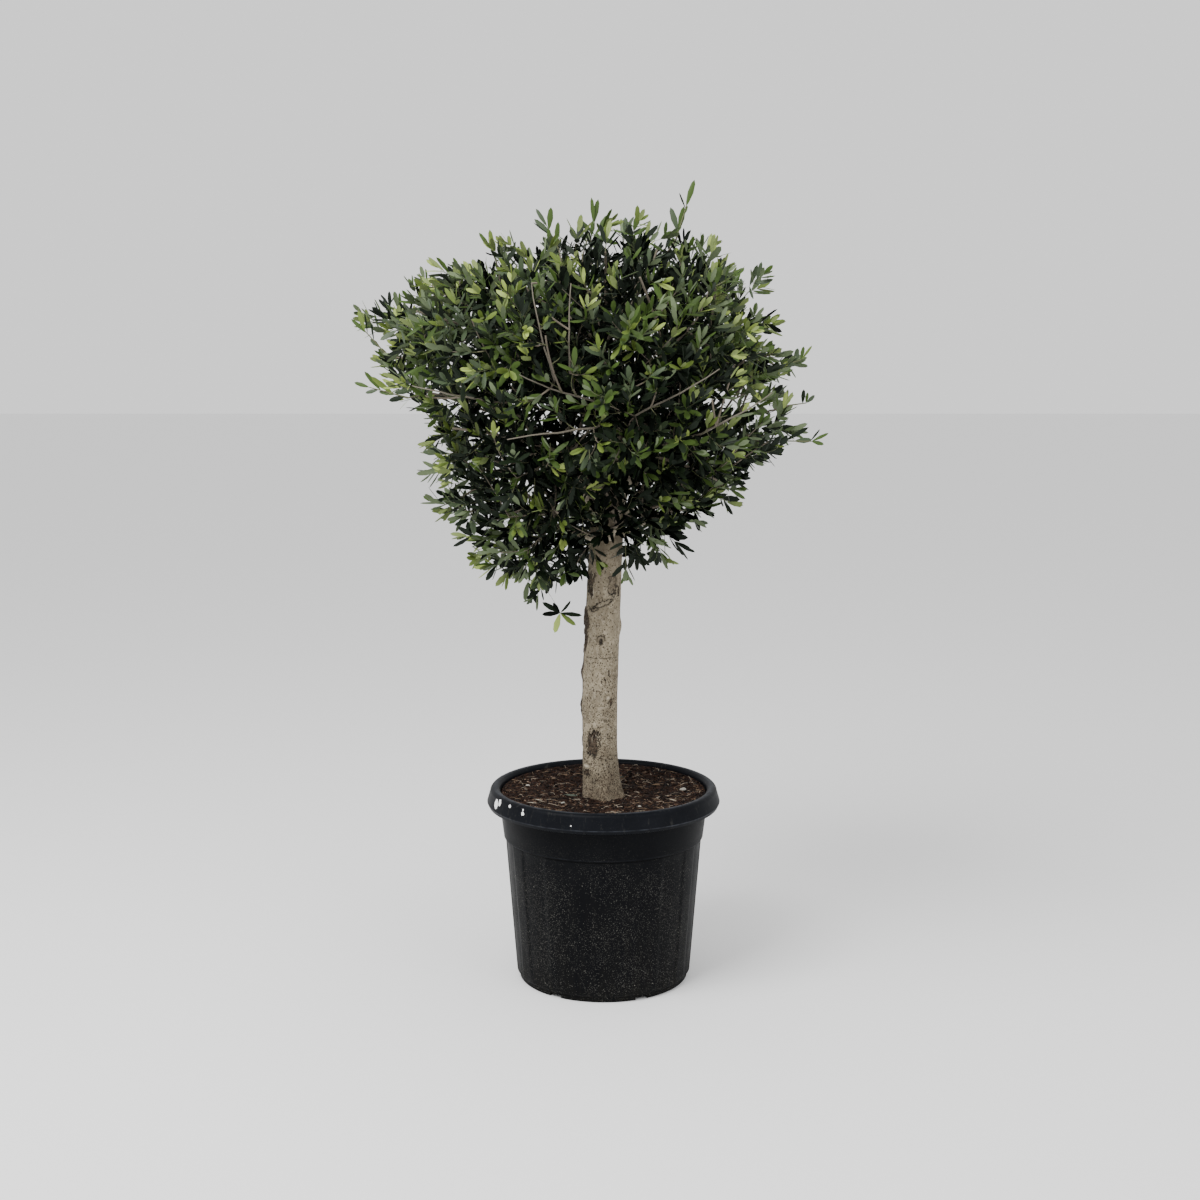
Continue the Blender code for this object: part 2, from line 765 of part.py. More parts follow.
def twig_mesh(twig, pointed):
    """A three-sided cone with a face to +X, whose foot may end in a point inside the limb it leaves."""
    shape = bmesh.new()
    foot = TWIG_FOOT if pointed else 0
    place = Matrix.Rotation(-math.pi / 6, 4, "Z") @ Matrix.Translation((0, 0, (twig.length + foot) / 2))
    bmesh.ops.create_cone(
        shape, cap_ends=True, segments=3, radius1=twig.radius, radius2=twig.radius * TWIG_TAPER,
        depth=twig.length - foot, matrix=place,
    )
    if pointed:
        cap = min(shape.faces, key=lambda face: face.calc_center_median().z)
        bmesh.ops.poke(shape, faces=[cap], offset=foot)
    return mesh_from(shape, "twig")


def leaf_pattern():
    """A leaf of eight faces, one unit long, wide and thick, from its root up."""
    shape = bmesh.new()
    bmesh.ops.create_uvsphere(
        shape, u_segments=4, v_segments=2, radius=0.5, matrix=Matrix.Translation((0, 0, 0.5))
    )
    return mesh_from(shape, "leaf")


def main_island(mesh):
    """Keeps the largest body: scraps are dropped, and hollows that the union sealed are filled."""
    shape = bmesh.new()
    shape.from_mesh(mesh)
    bmesh.ops.triangulate(shape, faces=shape.faces)
    left, islands = set(shape.faces), []
    while left:
        island, edge = set(), [left.pop()]
        while edge:
            face = edge.pop()
            island.add(face)
            for loop in face.loops:
                for other in loop.edge.link_faces:
                    if other in left:
                        left.discard(other)
                        edge.append(other)
        islands.append(island)
    islands.sort(key=len)
    scraps = [face for island in islands[:-1] for face in island]
    bmesh.ops.delete(shape, geom=scraps, context="FACES")
    shape.to_mesh(mesh)
    shape.free()


def build_mass(name, twigs, leaves, leaf_mesh, parts, slot):
    """Twigs and leaves joined by one union into one solid."""
    pieces = new_collection(name + "_pieces")
    stem = add_object(name, twig_mesh(twigs[0], False), parts)
    stem.matrix_world = placing(twigs[0].x, twigs[0].y, twigs[0].way, twigs[0].start)
    for twig in twigs[1:]:
        made = add_object("twig", twig_mesh(twig, True), pieces)
        made.matrix_world = placing(twig.x, twig.y, twig.way, twig.start)
    for leaf in leaves:
        length = LEAF_LENGTH + leaf.sink
        thick = np.cross(leaf.way, leaf.flat) * LEAF_THICKNESS
        root = leaf.root - leaf.way * leaf.sink
        place = placing(leaf.flat * LEAF_WIDTH, thick, leaf.way * length, root)
        add_object("leaf", leaf_mesh, pieces).matrix_world = place
    union = stem.modifiers.new("join", "BOOLEAN")
    union.operation = "UNION"
    union.operand_type = "COLLECTION"
    union.solver = "MANIFOLD"
    union.collection = pieces
    bpy.context.view_layer.update()
    applied(stem)
    stem.data.transform(stem.matrix_world)
    stem.matrix_world = Matrix.Identity(4)
    for piece in list(pieces.objects):
        own = piece.data if piece.data is not leaf_mesh else None
        bpy.data.objects.remove(piece, do_unlink=True)
        if own:
            bpy.data.meshes.remove(own)
    bpy.data.collections.remove(pieces)
    main_island(stem.data)
    finish(stem, slot, LEAF_SMOOTH_BELOW)


def limb_segments(limbs):
    heights = trunk_heights()
    starts = [trunk_centre(z) for z in heights[:-1]]
    ends = [trunk_centre(z) for z in [*heights[1:-1], TRUNK_TOP_Z]]
    radii = [trunk_radius(z) * (1 + 0.5 * LOBE_SHARE) for z in heights[:-1]]
    for limb in limbs.values():
        starts += list(limb.points[:-1])
        ends += list(limb.points[1:])
        radii += list(limb.radii[:-1])
    return np.array(starts), np.array(ends), np.array(radii)


def build_foliage(plan, limbs, parts, slot):
    leaf_mesh = leaf_pattern()
    starts, ends, radii = limb_segments(limbs)
    middles = np.array([middle for _, _, _, middle in plan])
    for number, (name, _, _, middle) in enumerate(plan):
        draw = random.Random(SEED + number)
        space = Space(middle, np.delete(middles, number, axis=0), starts, ends, radii)
        limb = limbs[name]
        foot = limb.points[-1] + limb.way * GAP
        first = foot + limb.way * SKELETON_STEP
        ends_wanted = twig_ends(space, foot, draw, TIP_ROOM * LEAF_LENGTH)
        stem = Twig(foot, first, 0)
        twigs = [stem, *grow_twigs(space, first, limb.way, ends_wanted, draw)]
        leaves = []
        grow_reaching_shoots(space, leaves, twigs, draw)
        grow_leaves(space, leaves, twigs, draw)
        build_mass("foliage_" + name, twigs, leaves, leaf_mesh, parts, slot)
    bpy.data.meshes.remove(leaf_mesh)


def main():
    clear_scene()
    parts = new_collection(OBJECT)
    cutters = new_collection("cutters")
    slots = {name: material(name) for name in MATERIALS}
    build_pot(parts, cutters, slots["pot"])
    build_soil(parts, slots["soil"])
    trunk_clearance = build_trunk(parts, cutters, slots["bark"])
    plan = mass_plan()
    limbs = plan_limbs(plan)
    build_boughs(limbs, trunk_clearance, parts, slots["bark"])
    build_foliage(plan, limbs, parts, slots["foliage"])


main()
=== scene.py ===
"""Potted olive tree: a nursery pot of soil, a knotty trunk, boughs, twigs and narrow leaves.

Metres, +Z up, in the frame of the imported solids. -Y is the front and +X the right.
"""

import math
import random

import bpy
import numpy as np
from mathutils import Matrix, Vector, noise


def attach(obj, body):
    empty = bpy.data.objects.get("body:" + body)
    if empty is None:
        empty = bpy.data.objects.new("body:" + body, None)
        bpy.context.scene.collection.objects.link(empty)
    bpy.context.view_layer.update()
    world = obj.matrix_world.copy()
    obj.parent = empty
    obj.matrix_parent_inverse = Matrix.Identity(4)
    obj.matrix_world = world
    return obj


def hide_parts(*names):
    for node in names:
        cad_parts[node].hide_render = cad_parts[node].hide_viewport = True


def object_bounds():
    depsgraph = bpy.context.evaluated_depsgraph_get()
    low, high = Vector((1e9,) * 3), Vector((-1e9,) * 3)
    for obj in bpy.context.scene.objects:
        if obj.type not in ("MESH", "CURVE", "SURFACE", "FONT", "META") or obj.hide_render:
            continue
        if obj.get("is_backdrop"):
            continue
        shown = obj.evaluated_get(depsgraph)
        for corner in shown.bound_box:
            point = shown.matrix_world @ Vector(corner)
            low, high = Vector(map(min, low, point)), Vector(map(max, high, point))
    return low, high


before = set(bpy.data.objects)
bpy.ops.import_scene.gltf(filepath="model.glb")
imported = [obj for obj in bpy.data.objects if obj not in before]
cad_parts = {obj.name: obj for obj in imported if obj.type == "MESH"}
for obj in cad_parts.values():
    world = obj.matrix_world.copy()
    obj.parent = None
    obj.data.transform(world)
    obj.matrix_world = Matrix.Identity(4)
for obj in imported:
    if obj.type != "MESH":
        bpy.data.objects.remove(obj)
CAD_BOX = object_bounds()

bl_info = {
    "name": "Potted Olive Tree",
    "version": (1, 0, 0),
    "blender": (4, 5, 0),
    "location": "3D View > Sidebar > Olive Tree",
    "description": "Dresses a potted olive tree: pot, soil, trunk, boughs, twigs and leaves",
    "category": "Add Mesh",
}

BODY = "root"
NOISE_SEED = 1795655425  # for the wander of the boughs and of the stems that show

# Masses of foliage: tier, height, number, how far out, and the source's reach left and right
TIERS = (
    ("low", 0.99, 5, 0.72, 0.37, 0.24),
    ("middle", 1.19, 6, 0.66, 0.425, 0.421),
    ("high", 1.40, 5, 0.62, 0.4925, 0.41),
    ("top", 1.53, 1, 0.00, 0.4025, 0.3275),
)

# Pot
POT_HEIGHT = 0.42
POT_STEPS = 360
RIM_RADIUS = 0.25
RIM_DEPTH = 0.041
LIP = 0.009
RIM_FOOT_Z = POT_HEIGHT - RIM_DEPTH
CREST_RADIUS = 0.2325
CREST_HALF_WIDTH = 0.011
CREST_RISE = 0.010
RIM_WALL = 0.003
COLLAR_TOP_RADIUS = 0.2225
COLLAR_FOOT_RADIUS = 0.2145
COLLAR_FOOT_Z = 0.3125
STEP_DEPTH = 0.0035
STEP_DROP = 0.0025
WALL_FOOT_RADIUS = 0.1880
WALL_FOOT_Z = 0.016
POT_WALL = 0.004
FLOOR = 0.010
FOOT_RADIUS = 0.182
FOOT_HEIGHT = 0.012
FLUTES = 12
FLUTE_DEPTH = 0.0018
RIB_HALF_ANGLE = math.radians(5.5)
RIB_EDGE = math.radians(1.2)
NOTCHES = 6
NOTCH_SIZE = (0.028, 0.026, 0.013)
NOTCH_TURN = math.radians(-4)
LIME_SPECKS = (  # cells to the metre, size, share of bare cells and strength
    (640, 0.36, 0.66, 0.34),
    (380, 0.28, 0.88, 0.60),
    (170, 0.17, 0.975, 0.90),
)
# Painted highlights: light lines along the step, the rim's lip and the crest.
EDGE_HIGHLIGHTS = (  # height, half width and strength
    (COLLAR_FOOT_Z + 0.0014, 0.0012, 0.22),
    (RIM_FOOT_Z + LIP - 0.0010, 0.0018, 0.85),
    (POT_HEIGHT, 0.0014, 0.50),
)
SPLASHES = (  # place and size of the paint on the rim
    ((-0.2255, -0.098, 0.403), (0.009, 0.014, 0.015)),
    ((-0.2180, -0.112, 0.410), (0.008, 0.010, 0.010)),
    ((-0.1945, -0.147, 0.4115), (0.005, 0.006, 0.005)),
    ((-0.1640, -0.175, 0.4115), (0.005, 0.006, 0.006)),
    ((-0.1660, -0.180, 0.4050), (0.005, 0.007, 0.006)),
    ((-0.0670, -0.242, 0.3960), (0.004, 0.006, 0.004)),
)

# Soil
SOIL_Z = 0.396
SOIL_EDGE_Z = 0.407
SOIL_BACK_RISE = 0.0045
SOIL_FLAT_RADIUS = 0.06
SOIL_RADIUS = 0.2190
SOIL_RINGS = 84
SOIL_STEPS = 300
BARE_BY_TRUNK = 0.045
BARE_BY_WALL = 0.002
FULL_TURN = 6.28  # radians
CHIPS = 2600
CHIP_TILT = 0.30  # spread in radians
FIBRES = 1100
FIBRE_POINTS = 5
PEAT_TONES = ((0.0012, 0.0008, 0.0006), (0.10, 0.058, 0.036))
CHIP_TONES = (
    (0.0, (0.0014, 0.0008, 0.0005)),
    (0.66, (0.0058, 0.0026, 0.0016)),
    (0.88, (0.050, 0.023, 0.013)),
    (0.99, (0.28, 0.20, 0.140)),
)
PALE_STALK = (0.52, 0.44, 0.34)
DRY_LEAF_TONES = (
    (0.075, 0.090, 0.068),
    (0.42, 0.41, 0.36),
    (0.36, 0.31, 0.24),
    (0.120, 0.075, 0.042),
)
FALLEN_LEAVES = (  # place, turn, length, width and tone
    (-0.068, -0.005, 8, 0.036, 0.0110, 0),
    (-0.086, -0.083, 70, 0.022, 0.0060, 1),
    (-0.150, -0.098, 4, 0.024, 0.0040, 2),
    (-0.138, -0.075, -20, 0.020, 0.0040, 2),
    (0.120, 0.060, 35, 0.038, 0.0100, 3),
    (0.030, 0.130, 150, 0.040, 0.0110, 0),
    (-0.110, 0.110, 80, 0.036, 0.0090, 3),
    (0.150, -0.070, -35, 0.030, 0.0070, 2),
)
STONES = (  # place and size
    (0.172, 0.010, 0.0075),
    (-0.020, 0.170, 0.0060),
    (-0.165, 0.045, 0.0050),
    (0.075, -0.120, 0.0040),
)

# Trunk
TRUNK_TOP_Z = 1.075
TRUNK_SHOULDER_Z = 0.985
TRUNK_RADIUS = 0.0368
TRUNK_HEAD_RADIUS = 0.0345
FLARE = 0.0075
FLARE_HEIGHT = 0.045
FLARE_LOBES = 5
LOBE_SHARE = 0.10
LOBE_TURN = 0.7
OVAL_SHARE = 0.02
OVAL_TWIST = 9
TRUNK_LEAN = 0.012
TRUNK_BOW = 0.011
TRUNK_BOW_BACK = 0.004
BOW_SHAPE = 0.6
KNOTS = (  # height, direction in degrees and rise
    (0.765, 5, 0.0045),
    (0.665, 178, 0.0035),
    (0.592, 176, 0.0040),
    (0.735, -88, 0.0025),
    (0.455, -112, 0.0040),
    (0.640, 60, 0.0030),
    (0.540, 110, 0.0035),
)
KNOT_SPREAD = 0.016
TRUNK_COLUMNS = 176
TRUNK_ROWS = 440
TRUNK_FOOT_DEPTH = 0.006
HEAD_SHARE = 0.09
PORES = (  # cells to the metre, size, share of bare cells, more low down, and strength
    (420, 0.42, 0.70, 0.45, 0.80),
    (240, 0.36, 0.80, 0.34, 0.90),
    (130, 0.24, 0.92, 0.10, 0.90),
)

# Marks on the bark: height, direction in degrees, half width, half height, and for scars also the
# slope and sometimes the strength
SCAR_STRENGTH = 0.95
SCARS = (
    (0.857, -61, 0.0115, 0.0225, 0.00, 0.50),
    (0.845, -33, 0.0045, 0.0110, 0.00),
    (0.862, -150, 0.0120, 0.0230, 0.00),
    (0.840, -136, 0.0060, 0.0070, 0.00),
    (0.8165, -97, 0.0240, 0.0068, 0.36, 0.12),
    (0.806, -120, 0.0110, 0.0056, 0.10, 0.30),
    (0.516, -112, 0.0125, 0.0260, 0.05),
    (0.538, -106, 0.0090, 0.0070, 0.20),
    (0.592, -175, 0.0060, 0.0130, 0.00),
    (0.668, -176, 0.0050, 0.0050, 0.00),
    (0.454, -138, 0.0090, 0.0080, 0.00),
    (0.6716, -62, 0.0020, 0.0060, 0.00),
    (0.655, -74, 0.0022, 0.0026, 0.00),
    (0.605, -52, 0.0040, 0.0075, 0.00),
    (0.700, 62, 0.0130, 0.0300, 0.10),
    (0.560, 96, 0.0100, 0.0160, 0.30),
    (0.860, 118, 0.0180, 0.0070, -0.30),
    (0.640, 20, 0.0050, 0.0060, 0.00),
)
EYES = (
    (0.7400, -93, 0.0090, 0.0125),
    (0.745, 140, 0.0080, 0.0110),
    (0.500, 40, 0.0075, 0.0095),
)
PALE_MARKS = (
    (0.534, -103, 0.0016, 0.0055),
    (0.529, -98, 0.0014, 0.0050),
    (0.526, -117, 0.0014, 0.0090),
    (0.467, -139, 0.0085, 0.0032),
    (0.615, -62, 0.0040, 0.0042),
    (0.838, -128, 0.0012, 0.0140),
)
STAINS = (
    (0.7226, -52, 0.0120, 0.0130),
    (0.440, -60, 0.0300, 0.0160),
    (0.500, -70, 0.0180, 0.0250),
)
CRACKS = (  # height, first and last direction, drop to the right
    (0.7018, -145, -31, 0.0010),
    (0.6727, -152, -118, -0.0010),
    (0.5690, -98, -41, 0.0050),
    (0.5655, -86, -48, 0.0035),
    (0.5270, -64, -40, 0.0000),
    (0.6300, 80, 140, 0.0020),
)
OLD_BARK = (0.706, 0.812, -163, 0.0150)  # lowest, highest, direction and half width
# A dark ragged strip down the trunk's left side: old bark, and painted shade along that side.
LEFT_EDGE_BARK_AND_SHADE = (0.440, 0.900, -178, 0.0075)

# Crown: height, reach to the left and reach to the right of the leaf tips
OUTLINE = (
    (0.780, 0.10, 0.00),
    (0.821, 0.165, 0.00),
    (0.864, 0.23, 0.02),
    (0.890, 0.27, 0.12),
    (0.906, 0.29, 0.145),
    (0.949, 0.32, 0.150),
    (0.991, 0.34, 0.222),
    (1.033, 0.385, 0.286),
    (1.075, 0.38, 0.324),
    (1.117, 0.395, 0.345),
    (1.159, 0.385, 0.42),
    (1.201, 0.400, 0.43),
    (1.242, 0.450, 0.426),
    (1.283, 0.490, 0.40),
    (1.325, 0.465, 0.414),
    (1.366, 0.490, 0.38),
    (1.406, 0.510, 0.365),
    (1.447, 0.460, 0.340),
    (1.488, 0.405, 0.340),
    (1.528, 0.360, 0.285),
    (1.569, 0.260, 0.255),
    (1.609, 0.150, 0.180),
    (1.649, 0.050, 0.160),
    (1.680, 0.000, 0.060),
)
HEIGHTS, LEFT, RIGHT = (np.array(row) for row in zip(*OUTLINE))
CROWN_FOOT_Z = 0.922
CROWN_FOOT_FALL = (0.35, 1.10)
BARE_RADIUS = 0.045
SIDE_SHARPNESS = 3
CROWN_HEART = np.array((-0.02, 0.0, 1.12))
CROWN_BOX = np.array(((-0.52, -0.42, 0.78), (0.47, 0.42, 1.69)))
SKY_GAPS = (  # across, height, half width and half height
    (-0.31, 1.22, 0.028, 0.024),
    (-0.30, 1.08, 0.026, 0.026),
    (0.335, 1.225, 0.034, 0.026),
)
OPEN_PLACES = (  # across, height, half width, half height and how much sparser
    (-0.30, 1.14, 0.13, 0.18, 0.30),
    (0.31, 1.21, 0.08, 0.06, 0.50),
    (-0.10, 1.21, 0.08, 0.05, 0.30),
)
BOX_SLACK = 0.004

# Sprays that reach out of the crown, placed by their tips
REACHING_TIPS = (
    (-0.450, 0.05, 1.460),
    (-0.347, -0.06, 1.541),
    (0.009, -0.08, 1.631),
    (0.044, 0.06, 1.621),
    (0.091, -0.02, 1.609),
    (0.214, 0.05, 1.589),
    (0.231, -0.06, 1.579),
    (0.260, 0.02, 1.545),
    (0.339, -0.03, 1.503),
    (0.367, 0.04, 1.423),
    (0.424, 0.05, 1.341),
    (-0.385, 0.00, 1.040),
    (-0.385, -0.05, 1.110),
    (-0.325, -0.05, 0.965),
    (-0.268, -0.07, 0.895),
    (-0.235, -0.06, 0.868),
    (0.144, 0.02, 0.900),
    (0.100, -0.06, 0.902),
    (0.065, -0.09, 0.905),
    (0.190, -0.04, 0.935),
    (-0.050, -0.30, 1.600),
    (0.100, 0.300, 1.600),
    (-0.150, 0.34, 1.560),
    (0.050, -0.400, 1.430),
    (-0.100, 0.405, 1.420),
)
TIP_LIFT = 0.5
TIP_STALK = 0.034
TIP_GROWTH = 1.15
TIP_TONES = ((3, 3), (4, 3), (4, 1), (5, 3))
SHADED_TIP_TONES = (1, 0)

# Shoots that stand out at the crown's edge: place, turn from the right, length and leaves
EDGE_SHOOTS = (
    (0.149, -0.02, 1.573, 73, 0.069, "top_right"),
    (-0.446, -0.07, 1.341, 132, 0.058, "left_upper"),
    (-0.400, -0.06, 1.249, 165, 0.082, "left_lower"),
    (0.332, -0.16, 1.167, -1, 0.083, "right_lower"),
    (0.367, -0.03, 1.313, 18, 0.042, "right_upper"),
    (0.380, -0.05, 1.233, 8, 0.037, "right_middle"),
    (-0.090, -0.05, 1.545, 117, 0.054, "top_left"),
    (-0.038, 0.02, 1.559, 69, 0.049, "top"),
    (-0.219, -0.04, 1.525, 113, 0.026, "notch"),
)
BLADES = {  # place along the stem, turn from the right, length, width and tone
    "top_right": (
        (0.93, 73, 0.057, 0.012, 3),
        (0.16, 108, 0.053, 0.013, 2),
        (0.18, 77, 0.052, 0.013, 3),
        (0.88, 113, 0.034, 0.004, 1),
        (0.66, 67, 0.022, 0.006, 3),
    ),
    "left_upper": (
        (0.89, 137, 0.043, 0.009, 3),
        (1.00, 109, 0.044, 0.011, 4),
        (0.86, 97, 0.044, 0.004, 1),
        (0.53, 99, 0.037, 0.004, 1),
        (0.23, 138, 0.026, 0.010, 2),
    ),
    "left_lower": (
        (1.00, 161, 0.033, 0.009, 3),
        (0.70, 131, 0.051, 0.010, 3),
        (0.32, 169, 0.036, 0.010, 3),
        (0.77, -168, 0.028, 0.009, 2),
        (0.38, 143, 0.058, 0.012, 4),
        (0.09, -168, 0.034, 0.012, 1),
    ),
    "right_lower": (
        (0.58, 6, 0.036, 0.012, 2),
        (1.00, 27, 0.038, 0.007, 3),
        (1.00, -11, 0.026, 0.009, 3),
        (0.97, 53, 0.031, 0.004, 1),
        (0.36, 30, 0.055, 0.009, 1),
        (0.33, 119, 0.026, 0.008, 2),
    ),
    "right_upper": (
        (0.69, 81, 0.028, 0.011, 2),
        (0.98, 77, 0.028, 0.009, 3),
        (1.00, 53, 0.036, 0.006, 4),
    ),
    "right_middle": (
        (0.78, 87, 0.029, 0.009, 1),
        (0.97, 82, 0.022, 0.007, 3),
        (1.00, 44, 0.023, 0.009, 2),
    ),
    "top_left": (
        (0.99, 122, 0.043, 0.009, 2),
        (0.85, 84, 0.046, 0.013, 3),
        (0.71, 138, 0.044, 0.011, 2),
        (0.57, 143, 0.048, 0.004, 1),
        (0.27, 84, 0.045, 0.011, 3),
    ),
    "top": (
        (0.98, 95, 0.053, 0.011, 3),
        (0.89, 77, 0.055, 0.012, 3),
        (0.51, 127, 0.032, 0.004, 1),
        (0.15, 121, 0.029, 0.010, 2),
        (0.24, 95, 0.025, 0.009, 3),
    ),
    "notch": (
        (1.00, 125, 0.041, 0.009, 3),
        (0.71, 96, 0.046, 0.012, 4),
    ),
}
SHOOT_RADII = (0.0016, 0.0009)
SHOOT_FOLD = 0.2
ROSETTE = (-0.0905, -0.060, 0.803)
# The deep and dark leaves of the hanging star are painted shade under the crown.
ROSETTE_LEAVES = (  # turn from the right, length and tone
    (2, 0.047, 1),
    (42, 0.036, 1),
    (118, 0.034, 0),
    (152, 0.042, 1),
    (185, 0.036, 0),
    (-30, 0.040, 4),
    (-100, 0.046, 5),
)
SHOWN_LIMBS = (  # bare stems that show at the front, from the crown's heart outwards
    ((-0.094, -0.30, 1.289), (-0.121, -0.32, 1.385), (-0.137, -0.31, 1.470)),
    ((-0.065, -0.30, 1.304), (-0.066, -0.32, 1.385), (-0.064, -0.31, 1.470)),
    ((-0.020, -0.29, 1.250), (-0.104, -0.32, 1.276), (-0.160, -0.33, 1.300)),
    ((0.060, -0.29, 1.222), (0.148, -0.31, 1.266), (0.220, -0.30, 1.312)),
    ((0.190, -0.25, 1.185), (0.265, -0.27, 1.228), (0.325, -0.25, 1.264)),
    ((-0.020, -0.31, 1.199), (-0.114, -0.34, 1.189), (-0.185, -0.33, 1.178)),
    ((-0.250, -0.22, 1.252), (-0.320, -0.24, 1.266), (-0.375, -0.22, 1.278)),
)
SHOWN_RADII = (0.0022, 0.0010)
SHOWN_ROOM = 0.0045
SHOWN_WANDER = 0.0050

# Boughs
BOUGH_FOOT_Z = {"low": 0.945, "middle": 0.975, "high": 1.010, "top": 1.050}
BOUGH_RADIUS = {"low": 0.0075, "middle": 0.0095, "high": 0.0105, "top": 0.0090}
BOUGH_TIP_RADIUS = 0.0050
BOUGH_ENTRY = {"low": 0.52, "middle": 0.52, "high": 0.50, "top": 0.0}
BOUGH_DROP = {"low": 0.0, "middle": 0.05, "high": 0.13, "top": 0.17}
BOUGH_OUTWARD = {"low": 0.45, "middle": 0.55, "high": 0.40, "top": 0.0}
SHORTEST_ENTRY = 0.075
BOUGH_SEAT = 0.3
BOUGH_RISE = 0.45
BOUGH_TAPER = 0.8
BOUGH_POINTS = 40
BOUGH_SIDES = 14

# Twigs of three orders, and the bare stems that show: radius at the foot and at the end, sides and
# material, and how close the ends of each order lie
TWIG_RADII = ((0.0048, 0.0022), (0.0024, 0.0012), (0.0013, 0.0006))
SHOWN = 3
TWIG_SIDES = (7, 5, 4, 7)
TWIG_SLOTS = (0, 0, 1, 2)
TWIG_POINTS = 7
TWIG_SPACING = (0.15, 0.078, 0.0325)
TWIG_LIFT = (0.25, 0.50, 1.50)
INNER_SPACING = 1.55
SHELL_DEPTH = 0.15
TOP_THINS_FROM = 1.48
TOP_SPACING = 1.4
TOP_DROPS_FROM = 1.50
TOP_DROP = 0.3
CANDIDATES = 9000
ENDS_KEPT = 200  # how many earlier ends the next order keeps clear of
PATH_WEIGHT = 0.45
WIDEST_FORK = (math.radians(90), math.radians(80), math.radians(75))
SHORTEST_TWIG = 0.02
AIM_SPREAD = 0.22
END_SETBACK = 0.004
LEAST_JOINT = 0.7  # of a laid stem's thickness
LAID_STEP = 0.03  # what each joint of a laid stem adds to the way back
LAID_RADIUS = 0.0024  # the thickness that its joints count as
TIP_ROOM = 0.052
TIP_RISE = 0.055
LEADER_RISE = (0.012, 0.034)
BUMP_RISE = 0.016
RIPPLE = 0.016
LEADER_ROOM = (0.014, 0.034)
LEADER_SPACING = 0.080
LEADER_TOP_Z = 1.600

# Leaves
LEAF_ROWS = ((0.18, 0.52), (0.53, 1.00), (0.86, 0.70))  # place along the leaf and half width
LEAF_THICKNESS = 0.011
PAIR_SPACING = (0.0075, 0.0135)
LEAFY_LENGTH = (0.0, 0.085, 0.095)
CURL = (-0.04, 0.16)
FOLD = (0.05, 0.35)
UPTURN = 0.45
WAY_SPREAD = 0.13
FACE_SPREAD = 0.30
BARE_FOOT = 0.008  # length without leaves at a twig's foot
YOUNG_PAIRS = 2
LOST_LEAVES = 0.12
PAIR_SIZES = (0.74, 0.92, 1.0, 1.05, 1.05)
# Deep, dark and the shaded underside are painted shade inside the crown; the lighter tones are
# partly the leaves' own colours and partly painted light.
TONES = ("deep", "dark", "grey", "mid", "fresh", "bright")
SHINE = (0.04, 0.10, 0.25, 0.18, 0.20, 0.22)
UNDERS = ("shaded", "silver", "young")
TONE_SHARES = (  # shares of the tones, from the painted shade of the crown's heart to painted full light
    (0.80, 0.18, 0.02, 0.00, 0.00, 0.00),
    (0.40, 0.42, 0.05, 0.09, 0.03, 0.01),
    (0.10, 0.36, 0.08, 0.27, 0.13, 0.06),
    (0.00, 0.13, 0.10, 0.30, 0.27, 0.20),
)

# Stage
EYE = (-0.0075, -3.604, 1.360)
EYE_TILT = 81.5
LENS = 51.6
FLOOR_Z = -0.0005
LIGHTS = (("key", (-1.6, -1.8, 3.6), 2.0), ("fill", (2.4, -2.4, 2.2), 2.5))  # place and size
LIT_PLACE = Vector((0, 0, 0.9))


# Meshes


def deselect():
    if bpy.context.mode != "OBJECT":
        bpy.ops.object.mode_set(mode="OBJECT")
    bpy.ops.object.select_all(action="DESELECT")


def choose(piece):
    deselect()
    piece.select_set(True)
    bpy.context.view_layer.objects.active = piece


def piece_of(name, points, faces, slots=()):
    """An object from arrays: points, faces of one kind, and the material slot of each face."""
    mesh = bpy.data.meshes.new(name)
    faces = np.asarray(faces, np.int32)
    count, corners = faces.shape
    mesh.vertices.add(len(points))
    mesh.vertices.foreach_set("co", np.asarray(points, np.float32).ravel())
    mesh.loops.add(faces.size)
    mesh.loops.foreach_set("vertex_index", faces.ravel())
    mesh.polygons.add(count)
    mesh.polygons.foreach_set("loop_start", np.arange(0, faces.size, corners, dtype=np.int32))
    if len(slots):
        mesh.polygons.foreach_set("material_index", np.asarray(slots, np.int32))
    mesh.update(calc_edges=True)
    mesh.validate()
    piece = bpy.data.objects.new(name, mesh)
    bpy.context.scene.collection.objects.link(piece)
    return piece


def smooth(piece, degrees):
    choose(piece)
    bpy.ops.object.shade_smooth_by_angle(angle=math.radians(degrees))


def hand_in(piece, slot, materials, *nodes):
    """Gives a finished piece its materials, attaches it to the body and hides the nodes that it
    stands for. Its slot is not used.
    """
    for made in materials:
        piece.data.materials.append(made)
    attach(piece, BODY)
    if nodes:
        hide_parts(*nodes)


def unit(vectors):
    """Vectors with their lengths made 1."""
    return vectors / np.maximum(np.linalg.norm(vectors, axis=-1, keepdims=True), 1e-12)


